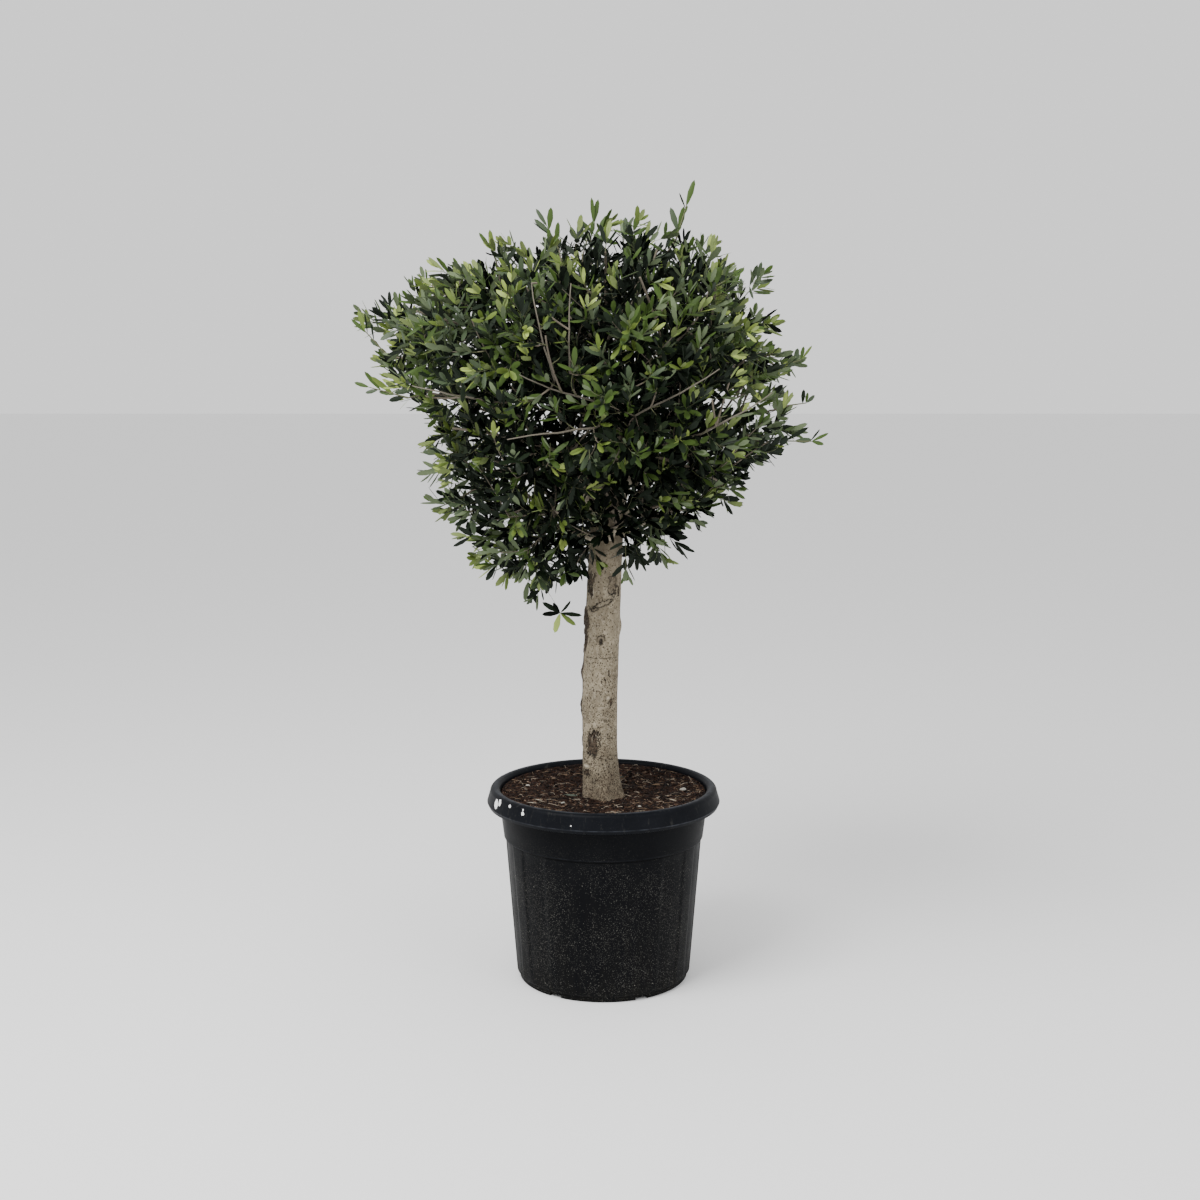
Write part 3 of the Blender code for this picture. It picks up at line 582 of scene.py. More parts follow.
def tubes(paths, radii, sides):
    """Closed tubes along paths of one length: their points and triangles."""
    count, length = paths.shape[:2]
    ways = unit(np.gradient(paths, axis=1))
    chord = unit(paths[:, -1] - paths[:, 0])
    level = np.where(np.abs(chord[:, 2:]) < 0.9, (0.0, 0.0, 1.0), (1.0, 0.0, 0.0))
    flat = np.cross(chord, level)[:, None]
    flat = unit(flat - ways * np.sum(flat * ways, axis=-1, keepdims=True))
    other = np.cross(ways, flat)
    turns = 2 * math.pi * np.arange(sides) / sides
    across = np.cos(turns)[:, None] * flat[:, :, None] + np.sin(turns)[:, None] * other[:, :, None]
    rings = paths[:, :, None] + radii[:, :, None, None] * across
    points = np.concatenate([rings.reshape(count, -1, 3), paths[:, :1], paths[:, -1:]], axis=1)
    ring = np.arange(sides)
    after = (ring + 1) % sides
    faces = []
    for k in range(length - 1):
        a, b = k * sides + ring, k * sides + after
        faces += [np.stack([a, b, b + sides], 1), np.stack([a, b + sides, a + sides], 1)]
    first, last = np.full(sides, length * sides), np.full(sides, length * sides + 1)
    end = (length - 1) * sides
    faces += [np.stack([first, after, ring], 1), np.stack([last, end + ring, end + after], 1)]
    faces = np.concatenate(faces)
    shifts = points.shape[1] * np.arange(count)
    return points.reshape(-1, 3), (faces[None] + shifts[:, None, None]).reshape(-1, 3)


# Materials


def maths(operation, swapped=False):
    """A method of Reading that adds a Math node."""

    def act(self, *others):
        terms = (*others, self) if swapped else (self, *others)
        return self.finish.node("ShaderNodeMath", {"operation": operation}, *terms)

    return act


class Reading:
    """A value on its way through a material: arithmetic on it adds Math nodes."""

    def __init__(self, finish, socket):
        self.finish = finish
        self.socket = socket

    __add__ = __radd__ = maths("ADD")
    __sub__ = maths("SUBTRACT")
    __rsub__ = maths("SUBTRACT", swapped=True)
    __mul__ = __rmul__ = maths("MULTIPLY")
    __truediv__ = maths("DIVIDE")
    __gt__ = maths("GREATER_THAN")
    __lt__ = maths("LESS_THAN")
    least = maths("MINIMUM")
    most = maths("MAXIMUM")
    size = maths("ABSOLUTE")

    def between(self, low, high):
        """0 at low, 1 at high, and straight between them."""
        settings = {"clamp": True}
        return self.finish.node("ShaderNodeMapRange", settings, self, low, high, 0.0, 1.0)


class Finish:
    """A material in the making. Its nodes all come from one method."""

    def __init__(self, name, colour, roughness, **constants):
        self.material = bpy.data.materials.new(name)
        self.material.use_nodes = True
        self.tree = self.material.node_tree
        self.shader = self.tree.nodes["Principled BSDF"]
        self.shader.inputs["Base Color"].default_value = (*colour, 1)
        self.shader.inputs["Roughness"].default_value = roughness
        for socket, value in constants.items():
            self.shader.inputs[socket.replace("_", " ")].default_value = value

    def put(self, socket, value):
        if isinstance(value, Reading):
            self.tree.links.new(value.socket, socket)
        elif socket.type == "RGBA" and len(value) == 3:
            socket.default_value = (*value, 1)
        else:
            socket.default_value = value

    def node(self, kind, settings=None, *values, out=0, **sockets):
        made = self.tree.nodes.new(kind)
        for name, value in (settings or {}).items():
            if name == "stops":
                for number, (place, colour) in enumerate(value):
                    ramp = made.color_ramp.elements
                    stop = ramp[number] if number < 2 else ramp.new(place)
                    stop.position = place
                    stop.color = (*colour, 1)
            else:
                setattr(made, name, value)
        for number, value in enumerate(values):
            self.put(made.inputs[number], value)
        for name, value in sockets.items():
            self.put(made.inputs[name.replace("_", " ")], value)
        return Reading(self, made.outputs[out])

    def place(self):
        return self.node("ShaderNodeTexCoord", out=3)

    def parts(self, vector):
        split = self.node("ShaderNodeSeparateXYZ", None, vector)
        outputs = split.socket.node.outputs
        return [Reading(self, outputs[k]) for k in range(3)]

    def moved(self, vector, stretch, shift=(0, 0, 0)):
        settings = {"vector_type": "TEXTURE"}
        return self.node("ShaderNodeMapping", settings, vector, shift, (0, 0, 0), stretch)

    def warped(self, vector, scale=45, amount=0.010):
        """Coordinates that wander, so that fine cells form no rings on a round wall."""
        wander = self.node("ShaderNodeTexNoise", None, out=1, Vector=vector, Scale=scale, Detail=1)
        settings = {"operation": "MULTIPLY_ADD"}
        return self.node("ShaderNodeVectorMath", settings, wander, (amount,) * 3, vector)

    def noise(self, vector, scale, detail=4, roughness=0.55):
        sockets = {"Vector": vector, "Scale": scale, "Detail": detail, "Roughness": roughness}
        return self.node("ShaderNodeTexNoise", None, **sockets)

    def cells(self, vector, scale, out=0):
        return self.node("ShaderNodeTexVoronoi", None, out=out, Vector=vector, Scale=scale)

    def cell_draw(self, vector, scale):
        """A random number for every cell."""
        return self.parts(self.cells(vector, scale, out=1))[0]

    def dots(self, vector, scale, size, bare):
        """1 in the dots, of which a share of the cells stays bare."""
        return (self.cells(vector, scale) < size) * (self.cell_draw(vector, scale) > bare)

    def ramp(self, value, stops):
        return self.node("ShaderNodeValToRGB", {"stops": stops}, value)

    def mix(self, factor, first, second):
        made = self.tree.nodes.new("ShaderNodeMix")
        made.data_type = "RGBA"
        for number, value in ((0, factor), (6, first), (7, second)):
            self.put(made.inputs[number], value)
        return Reading(self, made.outputs[2])

    def spot(self, vector, centre, radii):
        """1 in the middle of an ellipsoid, falling to 0 at its edge."""
        local = self.moved(vector, radii, centre)
        length = self.node("ShaderNodeVectorMath", {"operation": "LENGTH"}, local, out=1)
        return length.between(1.0, 0.0)

    def finish(self, colour=None, roughness=None, height=None, bump=0.3, depth=0.001):
        if colour:
            self.put(self.shader.inputs["Base Color"], colour)
        if roughness:
            self.put(self.shader.inputs["Roughness"], roughness)
        if height:
            made = self.node("ShaderNodeBump", None, bump, depth, Height=height)
            self.put(self.shader.inputs["Normal"], made)
        return self.material


def plastic(settings):
    """Blue-black moulded plastic: weathered, specked with lime, dusty low down, splashed above,
    with painted shade under the step and painted highlights along its edges.
    """
    made = Finish("pot_plastic", settings.colour, 0.5, Specular_IOR_Level=0.05)
    place = made.place()
    z = made.parts(place)[2]
    cloudy = made.noise(place, 14, 5, 0.6)
    streaks = made.noise(made.moved(place, (1, 1, 7)), 60, 4, 0.6)
    worn = made.mix(cloudy.between(0.35, 0.72), settings.colour, settings.worn)
    dust = z.between(0.36, 0.03) * 0.45 + z.between(0.06, 0.0) * 0.5
    dust = dust * streaks.between(0.30, 0.75) * settings.dust
    colour = made.mix(dust, worn, settings.dust_colour)
    below_rim = z.between(0.345, 0.25)
    heap = made.noise(place, 11, 3).between(0.36, 0.66)
    loose = made.warped(place)
    for scale, size, bare, depth in LIME_SPECKS:
        specks = made.dots(loose, scale, size, 1.0 - (1.0 - bare) * (0.25 + heap))
        specks = specks * (0.12 + below_rim)
        colour = made.mix((specks * depth).least(1.0), colour, settings.lime)
    # Painted shade: a dark line under the collar's step, where the step keeps the light off.
    painted_step_shade = ((z - (COLLAR_FOOT_Z - 0.0030)).size() / 0.0026).between(1.0, 0.3)
    colour = made.mix(painted_step_shade * 0.9, colour, tuple(0.2 * part for part in settings.colour))
    # Painted highlights: the edges of the step, the lip and the crest are lightened in streaks.
    highlighted = streaks.between(0.30, 0.62)
    edges = [
        ((z - height).size() / wide).between(1.0, 0.2) * highlighted * share
        for height, wide, share in EDGE_HIGHLIGHTS
    ]
    colour = made.mix(edges[0].most(edges[1]).most(edges[2]), colour, settings.edge)
    rim = z.between(0.372, 0.382)
    colour = made.mix(rim * 0.6, colour, made.mix(cloudy, colour, settings.rim))
    scuffs = made.noise(made.moved(place, (1, 1, 4)), 90, 3, 0.7).between(0.60, 0.80)
    colour = made.mix(scuffs * rim * 0.20, colour, settings.lime)
    ragged = made.noise(place, 260, 2)
    for centre, radii in SPLASHES:
        splash = (made.spot(place, centre, radii) + ragged * 0.8) > 0.72
        colour = made.mix(splash, colour, settings.paint)
    grain = made.noise(place, 900, 2, 0.5)
    scored = made.noise(made.moved(place, (1, 1, 12)), 180, 3, 0.6)
    roughness = (cloudy * 0.25 + dust * 0.5 + 0.34).least(0.9)
    return made.finish(colour, roughness, grain * 0.4 + scored * 0.6, 0.25, 0.0006)


def peat(settings):
    """Damp peat: dark crumbs between red-brown fibres."""
    made = Finish("soil_peat", settings.colour, 0.9, Specular_IOR_Level=0.12)
    place = made.place()
    crumbs = made.cells(place, 170)
    clods = made.noise(place, 38, 6, 0.65)
    fine = made.noise(place, 420, 4, 0.7)
    tint = (clods * 0.6 + fine * 0.5 + crumbs * 0.25).between(0.38, 0.95)
    darkest, palest = PEAT_TONES
    stops = ((0.0, darkest), (0.40, settings.colour), (0.80, settings.fibre), (1.0, palest))
    colour = made.ramp(tint, stops)
    return made.finish(colour, 0.75 + fine * 0.3, clods + fine * 0.6 + crumbs, 0.9, 0.004)


def litter(settings):
    """Chips of bark: every chip has a tone of its own."""
    made = Finish("bark_chips", settings.fibre, 0.85, Specular_IOR_Level=0.15)
    place = made.place()
    grain = made.noise(place, 700, 4, 0.7)
    colour = made.ramp(made.cell_draw(place, 130) * 0.85 + grain * 0.2, CHIP_TONES)
    return made.finish(colour, 0.7 + grain * 0.2, grain, 0.6, 0.0008)


def fibre_skins(name, colours):
    """Dry fibre in several colours, streaked darker along its length."""
    skins = []
    for number, colour in enumerate(colours):
        made = Finish(f"{name}_{number}", colour, 0.8, Specular_IOR_Level=0.2)
        streaks = made.noise(made.place(), 260, 3, 0.7).between(0.35, 0.65)
        darker = tuple(0.35 * part for part in colour)
        skins.append(made.finish(made.mix(streaks, darker, colour), 0.7 + streaks * 0.2))
    return skins


def stone_grain(settings):
    """Pale stone with grey grain."""
    made = Finish("stone", settings.stalk, 0.8)
    grain = made.noise(made.place(), 500, 4, 0.7)
    colour = made.mix(grain.between(0.35, 0.65), (0.16, 0.145, 0.12), (0.36, 0.34, 0.30))
    return made.finish(colour, 0.7 + grain * 0.2, grain, 0.5, 0.0006)


def trunk_bark(settings):
    """Smooth grey-beige bark with fine dark pores, and painted shadow of the crown on its top. The
    mesh's attribute gives its marks.
    """
    made = Finish("trunk_bark", settings.colour, 0.85, Specular_IOR_Level=0.2)
    place = made.place()
    z = made.parts(place)[2]
    marks = made.node("ShaderNodeAttribute", {"attribute_name": "marks"}, out=1)
    black, brown, pale = made.parts(marks)
    clouds = made.noise(place, 26, 5, 0.6)
    mottled = made.noise(made.moved(place, (1, 1, 1.5)), 130, 5, 0.7)
    colour = made.mix(clouds.between(0.35, 0.68), settings.colour, settings.shade)
    colour = made.mix(mottled.between(0.48, 0.78) * 0.7, colour, settings.pale)
    dirt = z.between(0.470, 0.402) * made.noise(place, 60, 5, 0.65).between(0.25, 0.60)
    colour = made.mix(dirt * 0.6, colour, settings.dirt)
    low = z.between(0.76, 0.46)
    stretched = made.moved(made.warped(place), (1, 1, 1.3))
    for scale, size, bare, gain, depth in PORES:
        pores = made.dots(stretched, scale, size, bare - low * gain)
        colour = made.mix(pores * depth, colour, settings.dark)
    ragged = made.noise(made.moved(place, (1, 1, 1.3)), 300, 4, 0.75)
    mottle = (ragged * 0.75 + mottled * 0.5).between(0.56, 0.76) * z.between(0.56, 0.42)
    colour = made.mix(mottle * 0.75, colour, settings.dark)
    colour = made.mix((brown * (0.65 + ragged * 0.6)).least(1.0), colour, settings.scar)
    colour = made.mix((pale * (0.5 + ragged)).least(1.0), colour, settings.pale)
    colour = made.mix((black * (0.6 + ragged * 0.7)).least(1.0), colour, settings.crack)
    # Painted shadow: the top of the trunk, under the crown, is darkened with the greyer bark's
    # colour.
    colour = made.mix(z.between(0.84, 0.95) * 0.6, colour, settings.shade)
    height = ragged * 0.5 + mottled * 0.6 - black * 0.8 - mottle * 0.3
    return made.finish(colour, 0.78 + ragged * 0.2, height, 0.7, 0.0011)


def bough_bark(settings):
    """Thin grey-beige bark of boughs and older twigs."""
    made = Finish("bough_bark", settings.colour, 0.8, Specular_IOR_Level=0.3)
    place = made.place()
    clouds = made.noise(place, 30, 4, 0.6)
    fine = made.noise(place, 320, 4, 0.7)
    pores = (made.cells(place, 330) < 0.3) * 0.5
    colour = made.mix(clouds.between(0.35, 0.7), settings.pale, settings.shade)
    colour = made.mix(pores, colour, settings.dark)
    return made.finish(colour, 0.7 + fine * 0.2, fine - pores, 0.5, 0.0008)


def plain(name, colour, roughness, **constants):
    return Finish(name, colour, roughness, **constants).material


# Pot and soil


def arc(centre, width, rise, start, end, steps):
    """Points on an ellipse from one angle to another, in degrees."""
    angles = [math.radians(start + (end - start) * k / steps) for k in range(steps + 1)]
    return [(centre[0] + width * math.cos(a), centre[1] + rise * math.sin(a)) for a in angles]


def between(first, last, steps):
    """The inner points of a straight line that is cut into steps."""
    shares = [k / steps for k in range(1, steps)]
    return [tuple(a + (b - a) * s for a, b in zip(first, last)) for s in shares]


def inner_wall(gap=0.0):
    """The pot's wall inside, from under the rim down to the floor."""
    step_radius = COLLAR_FOOT_RADIUS - STEP_DEPTH
    return [
        (COLLAR_TOP_RADIUS - POT_WALL - gap, RIM_FOOT_Z),
        (step_radius - POT_WALL - gap, COLLAR_FOOT_Z - STEP_DROP),
        (WALL_FOOT_RADIUS - POT_WALL - gap, FLOOR + gap),
    ]


def pot_profile():
    """The pot's section with its roundings: from the floor up the inside and down outside."""
    crest = (CREST_RADIUS, POT_HEIGHT - CREST_RISE)
    hook = (CREST_HALF_WIDTH - RIM_WALL, CREST_RISE - RIM_WALL)
    shoulder = (CREST_RADIUS + CREST_HALF_WIDTH, POT_HEIGHT - CREST_RISE)
    widest = (RIM_RADIUS, RIM_FOOT_Z + LIP)
    skirt_radius = RIM_RADIUS - LIP / 2
    collar_top = (COLLAR_TOP_RADIUS, RIM_FOOT_Z)
    step_top = (COLLAR_FOOT_RADIUS, COLLAR_FOOT_Z)
    step_foot = (COLLAR_FOOT_RADIUS - STEP_DEPTH, COLLAR_FOOT_Z - STEP_DROP)
    wall_foot = (WALL_FOOT_RADIUS, WALL_FOOT_Z)
    return [
        (0, FLOOR),
        *reversed(inner_wall()),
        *arc(crest, CREST_HALF_WIDTH, CREST_RISE, 180, 0, 14),
        *between(shoulder, widest, 5),
        (RIM_RADIUS - 0.0004, RIM_FOOT_Z + LIP + 0.0016),
        widest,
        (RIM_RADIUS - 0.0012, RIM_FOOT_Z + LIP - 0.0030),
        (skirt_radius + 0.0006, RIM_FOOT_Z + 0.0006),
        (skirt_radius - 0.0010, RIM_FOOT_Z),
        (skirt_radius - RIM_WALL, RIM_FOOT_Z),
        *arc(crest, *hook, 0, 180, 6),
        collar_top,
        *between(collar_top, step_top, 4),
        (COLLAR_FOOT_RADIUS, COLLAR_FOOT_Z + 0.0015),
        step_top,
        (COLLAR_FOOT_RADIUS - 0.0012, COLLAR_FOOT_Z - 0.0012),
        step_foot,
        *between(step_foot, wall_foot, 24),
        wall_foot,
        (WALL_FOOT_RADIUS - 0.0022, FOOT_HEIGHT + 0.0010),
        (FOOT_RADIUS, FOOT_HEIGHT),
        (FOOT_RADIUS, 0.0015),
        (FOOT_RADIUS - 0.0015, 0),
        (0, 0),
    ]


def spun(name, profile, steps):
    """A profile in the XZ plane spun round Z in edit mode, its seam and poles merged."""
    mesh = bpy.data.meshes.new(name)
    rows = [(radius, 0, z) for radius, z in profile]
    mesh.from_pydata(rows, [(k, k + 1) for k in range(len(rows) - 1)], [])
    piece = bpy.data.objects.new(name, mesh)
    bpy.context.scene.collection.objects.link(piece)
    choose(piece)
    bpy.ops.object.mode_set(mode="EDIT")
    bpy.ops.mesh.select_all(action="SELECT")
    bpy.ops.mesh.spin(steps=steps, angle=2 * math.pi, center=(0, 0, 0), axis=(0, 0, 1))
    bpy.ops.mesh.select_all(action="SELECT")
    bpy.ops.mesh.remove_doubles(threshold=0.00002)
    bpy.ops.mesh.normals_make_consistent(inside=False)
    bpy.ops.object.mode_set(mode="OBJECT")
    return piece


def press_flutes(mesh):
    """Draws the wall in between the ribs, fading out at the step and at the foot."""
    period = 2 * math.pi / FLUTES
    top, foot = COLLAR_FOOT_Z - STEP_DROP, WALL_FOOT_Z
    widening = COLLAR_FOOT_RADIUS - STEP_DEPTH - WALL_FOOT_RADIUS
    for vertex in mesh.vertices:
        x, y, z = vertex.co
        radius = math.hypot(x, y)
        wall = WALL_FOOT_RADIUS + widening * (z - foot) / (top - foot)
        if not foot - 0.001 < z < top + 0.0001 or abs(radius - wall) > 0.001:
            continue
        from_rib = (math.atan2(x, -y) + period / 2) % period - period / 2
        edge = min(max((abs(from_rib) - RIB_HALF_ANGLE) / RIB_EDGE, 0), 1)
        fade = min(1, (top - z) / 0.012, (z - foot) / 0.030)
        pull = FLUTE_DEPTH * edge * edge * (3 - 2 * edge) * max(fade, 0)
        share = 1 - pull / radius
        vertex.co = (x * share, y * share, z)


def cut_notches(pot):
    """Drain notches round the foot, cut by one cutter."""
    wide, deep, high = NOTCH_SIZE
    deselect()
    for number in range(NOTCHES):
        turn = NOTCH_TURN + math.pi / NOTCHES + 2 * math.pi * number / NOTCHES - math.pi / 2
        bpy.ops.mesh.primitive_cube_add(size=1, location=(0, 0, 0))
        cutter = bpy.context.object
        place = Matrix.Rotation(turn, 4, "Z") @ Matrix.Translation((FOOT_RADIUS, 0, 0))
        cutter.data.transform(place @ Matrix.Diagonal((deep, wide, high, 1)))
        choose(pot)
        cut = pot.modifiers.new("drain_notch", "BOOLEAN")
        cut.operation = "DIFFERENCE"
        cut.solver = "EXACT"
        cut.object = cutter
        bpy.ops.object.modifier_apply(modifier=cut.name)
        bpy.data.objects.remove(cutter, do_unlink=True)


def soil_height(x, y):
    """Height of the soil's surface: low by the trunk, higher at the edge, crumbly all over."""
    radius = math.hypot(x, y)
    share = min(max((radius - SOIL_FLAT_RADIUS) / (SOIL_RADIUS - SOIL_FLAT_RADIUS), 0), 1)
    back = SOIL_BACK_RISE * share * max(y, 0) / SOIL_RADIUS
    height = SOIL_Z + (SOIL_EDGE_Z - SOIL_Z) * share + back
    clods = noise.fractal(Vector((x * 34, y * 34, 0.7)), 1.0, 2.0, 4)
    crumbs = noise.noise(Vector((x * 170, y * 170, 3.1)))
    edge = min(1, (SOIL_RADIUS - radius) / 0.003)
    return height + max(edge, 0) * (0.0022 * clods + 0.0011 * crumbs)


def build_soil_bed():
    """The soil as one closed body: spun, then its top is roughened."""
    edge = inner_wall(0.0004)
    rings = [SOIL_RADIUS * k / SOIL_RINGS for k in range(1, SOIL_RINGS)]
    profile = [(0, SOIL_Z), *((radius, SOIL_Z) for radius in rings)]
    profile += [(SOIL_RADIUS, SOIL_EDGE_Z), *edge, (0, edge[-1][1])]
    soil = spun("soil_bed", profile, SOIL_STEPS)
    for vertex in soil.data.vertices:
        if vertex.co.z > SOIL_Z - 0.001:
            vertex.co.z = soil_height(vertex.co.x, vertex.co.y)
    smooth(soil, 60)
    return soil


def scatter(count, draw):
    """Places all over the soil, clear of the trunk and of the wall."""
    for _ in range(count):
        radius = math.sqrt(draw.uniform(BARE_BY_TRUNK**2, (SOIL_RADIUS - BARE_BY_WALL) ** 2))
        angle = draw.uniform(0, 2 * math.pi)
        yield radius * math.cos(angle), radius * math.sin(angle)


def build_chips(draw):
    """Flat wedges of bark, lying on the soil at all angles."""
    corners = np.array([(x, y, z) for x in (-1, 1) for y in (-1, 1) for z in (-1, 1)], float) / 2
    quads = np.array(
        [(0, 1, 3, 2), (4, 6, 7, 5), (0, 4, 5, 1), (2, 3, 7, 6), (0, 2, 6, 4), (1, 5, 7, 3)]
    )
    points, faces = [], []
    for number, (x, y) in enumerate(scatter(CHIPS, draw)):
        long = min(draw.uniform(0.0025, 0.0105), 1.5 * (SOIL_RADIUS - math.hypot(x, y)))
        size = (long, long * draw.uniform(0.14, 0.45), draw.uniform(0.0006, 0.0022))
        turn = Matrix.Rotation(draw.uniform(0, FULL_TURN), 3, "Z")
        tilt = Matrix.Rotation(draw.gauss(0, CHIP_TILT), 3, "Y")
        tilt = tilt @ Matrix.Rotation(draw.gauss(0, CHIP_TILT), 3, "X")
        shape = corners * size * (1 + 0.35 * np.array([[draw.uniform(-1, 1)] for _ in range(8)]))
        shape = shape @ np.array((turn @ tilt).transposed())
        points.append(shape + (x, y, soil_height(x, y) + 0.0006))
        faces.append(quads + 8 * number)
    return piece_of("bark_chips", np.concatenate(points), np.concatenate(faces))


def build_fibres(draw):
    """Thin fibres and pale bits of stalk, bent along the soil."""
    paths, radii = [], []
    shares = [k / (FIBRE_POINTS - 1) - 0.5 for k in range(FIBRE_POINTS)]
    for x, y in scatter(FIBRES, draw):
        long = draw.uniform(0.006, 0.030)
        angle, bow = draw.uniform(0, FULL_TURN), draw.uniform(-1.2, 1.2)
        lift = draw.uniform(0.0004, 0.0030)
        path = []
        for share in shares:
            turn = angle + bow * share
            px, py = x + long * share * math.cos(turn), y + long * share * math.sin(turn)
            over = math.hypot(px, py) / (SOIL_RADIUS - 0.003)
            px, py = px / max(over, 1), py / max(over, 1)
            path.append((px, py, soil_height(px, py) + lift * (1 - 3 * share**2) + 0.0003))
        paths.append(path)
        thick = draw.uniform(0.00025, 0.0006)
        radii.append([thick * (1 - abs(share)) for share in shares])
    points, faces = tubes(np.array(paths), np.array(radii), 4)
    tones = [draw.choices((0, 1, 2), (6, 2, 1))[0] for _ in paths]
    return piece_of("soil_fibres", points, faces, np.repeat(tones, len(faces) // len(paths)))


def build_fallen_leaves():
    """Dry olive leaves and slivers that lie on the soil."""
    rows = []
    for x, y, degrees, long, wide, tone in FALLEN_LEAVES:
        way = around(degrees)
        root = np.array((x, y, soil_height(x, y) + 0.0030)) - way * long / 2
        root[2] = max(root[2], soil_height(root[0], root[1]) + 0.0022)
        face = unit(np.array((0.12, -0.22, 1.0)))
        face = unit(face - way * (face @ way))
        rows.append((root, way, face, long, wide / 2, 0.10, 0.25, tone))
    points, faces, tones, _ = leaf_shapes(rows)
    fallen = piece_of("fallen_leaves", points, faces, tones)
    smooth(fallen, 50)
    return fallen


def build_stones(draw):
    """A few pale stones, pressed into the soil."""
    stones = []
    for x, y, size in STONES:
        deselect()
        bpy.ops.mesh.primitive_ico_sphere_add(subdivisions=3, radius=1)
        stone = bpy.context.object
        shift = Vector((draw.uniform(0, 50), 0, 0))
        for vertex in stone.data.vertices:
            lump = 1 + 0.28 * noise.noise(vertex.co * 1.1 + shift)
            lump += 0.05 * noise.noise(vertex.co * 5 + shift)
            vertex.co = vertex.co * lump * size
            vertex.co.z *= 0.6
            vertex.co += Vector((x, y, soil_height(x, y) + 0.25 * size))
        stones.append(stone)
    choose(stones[0])
    for stone in stones:
        stone.select_set(True)
    bpy.ops.object.join()
    stones[0].name = "stones"
    smooth(stones[0], 60)
    return stones[0]


# Trunk and boughs


def turned_from(degrees, angle):
    """Angles counted from a direction, between minus and plus half a turn."""
    return (angle - math.radians(degrees) + math.pi) % (2 * math.pi) - math.pi


def ridge(values, middle, width):
    """1 where values meet the middle, falling off smoothly on both sides."""
    return np.exp(-(((values - middle) / width) ** 2))


def trunk_centre(z):
    """Where the bowed and leaning trunk has its middle at a height."""
    share = min(max((z - SOIL_Z) / (TRUNK_TOP_Z - SOIL_Z), 0), 1)
    bow = math.sin(math.pi * share**BOW_SHAPE)
    return np.array((TRUNK_LEAN * share - TRUNK_BOW * bow, TRUNK_BOW_BACK * bow, z))


def trunk_radius(z, angle=None):
    """Radius of the trunk at heights. With angles, its root lobes and knots count too."""
    share = (z - SOIL_Z) / (TRUNK_TOP_Z - SOIL_Z)
    flare = np.exp(-(z - SOIL_Z) / FLARE_HEIGHT)
    radius = TRUNK_RADIUS + (TRUNK_HEAD_RADIUS - TRUNK_RADIUS) * share**2 + FLARE * flare
    if angle is None:
        return radius
    radius = radius * (1 + LOBE_SHARE * flare * np.cos(FLARE_LOBES * angle + LOBE_TURN))
    radius = radius * (1 + OVAL_SHARE * np.cos(2 * angle + OVAL_TWIST * z))
    for height, degrees, rise in KNOTS:
        distance = np.hypot(turned_from(degrees, angle) * TRUNK_RADIUS, z - height)
        radius = radius + rise * ridge(distance, 0, KNOT_SPREAD)
    return radius


def depth_in_mark(z, angle, height, degrees, wide, high, slope=0.0):
    """How deep points lie in an oval mark: 1 in its middle, 0 at its edge, less outside."""
    across = turned_from(degrees, angle) * TRUNK_RADIUS
    return 1 - np.hypot(across / wide, (z - height - slope * across) / high)


def strip_share(z, angle, rough, strip):
    """Where a ragged strip of old bark lies: 1 inside, 0 outside."""
    foot, head, degrees, wide = strip
    edge = 1 - np.abs(turned_from(degrees, angle) * TRUNK_RADIUS) / wide + 1.1 * rough
    ends = np.clip((z - foot) / 0.012, 0, 1) * np.clip((head - z) / 0.012, 0, 1)
    return np.clip(edge * 3, 0, 1) * ends


def bark_noise(points, scale, squeeze, octaves):
    """Fractal noise at points, drawn out along the trunk."""
    points = points * (1, 1, squeeze)
    return np.array([noise.fractal(Vector(p) * scale, 1.0, 2.1, octaves) for p in points])


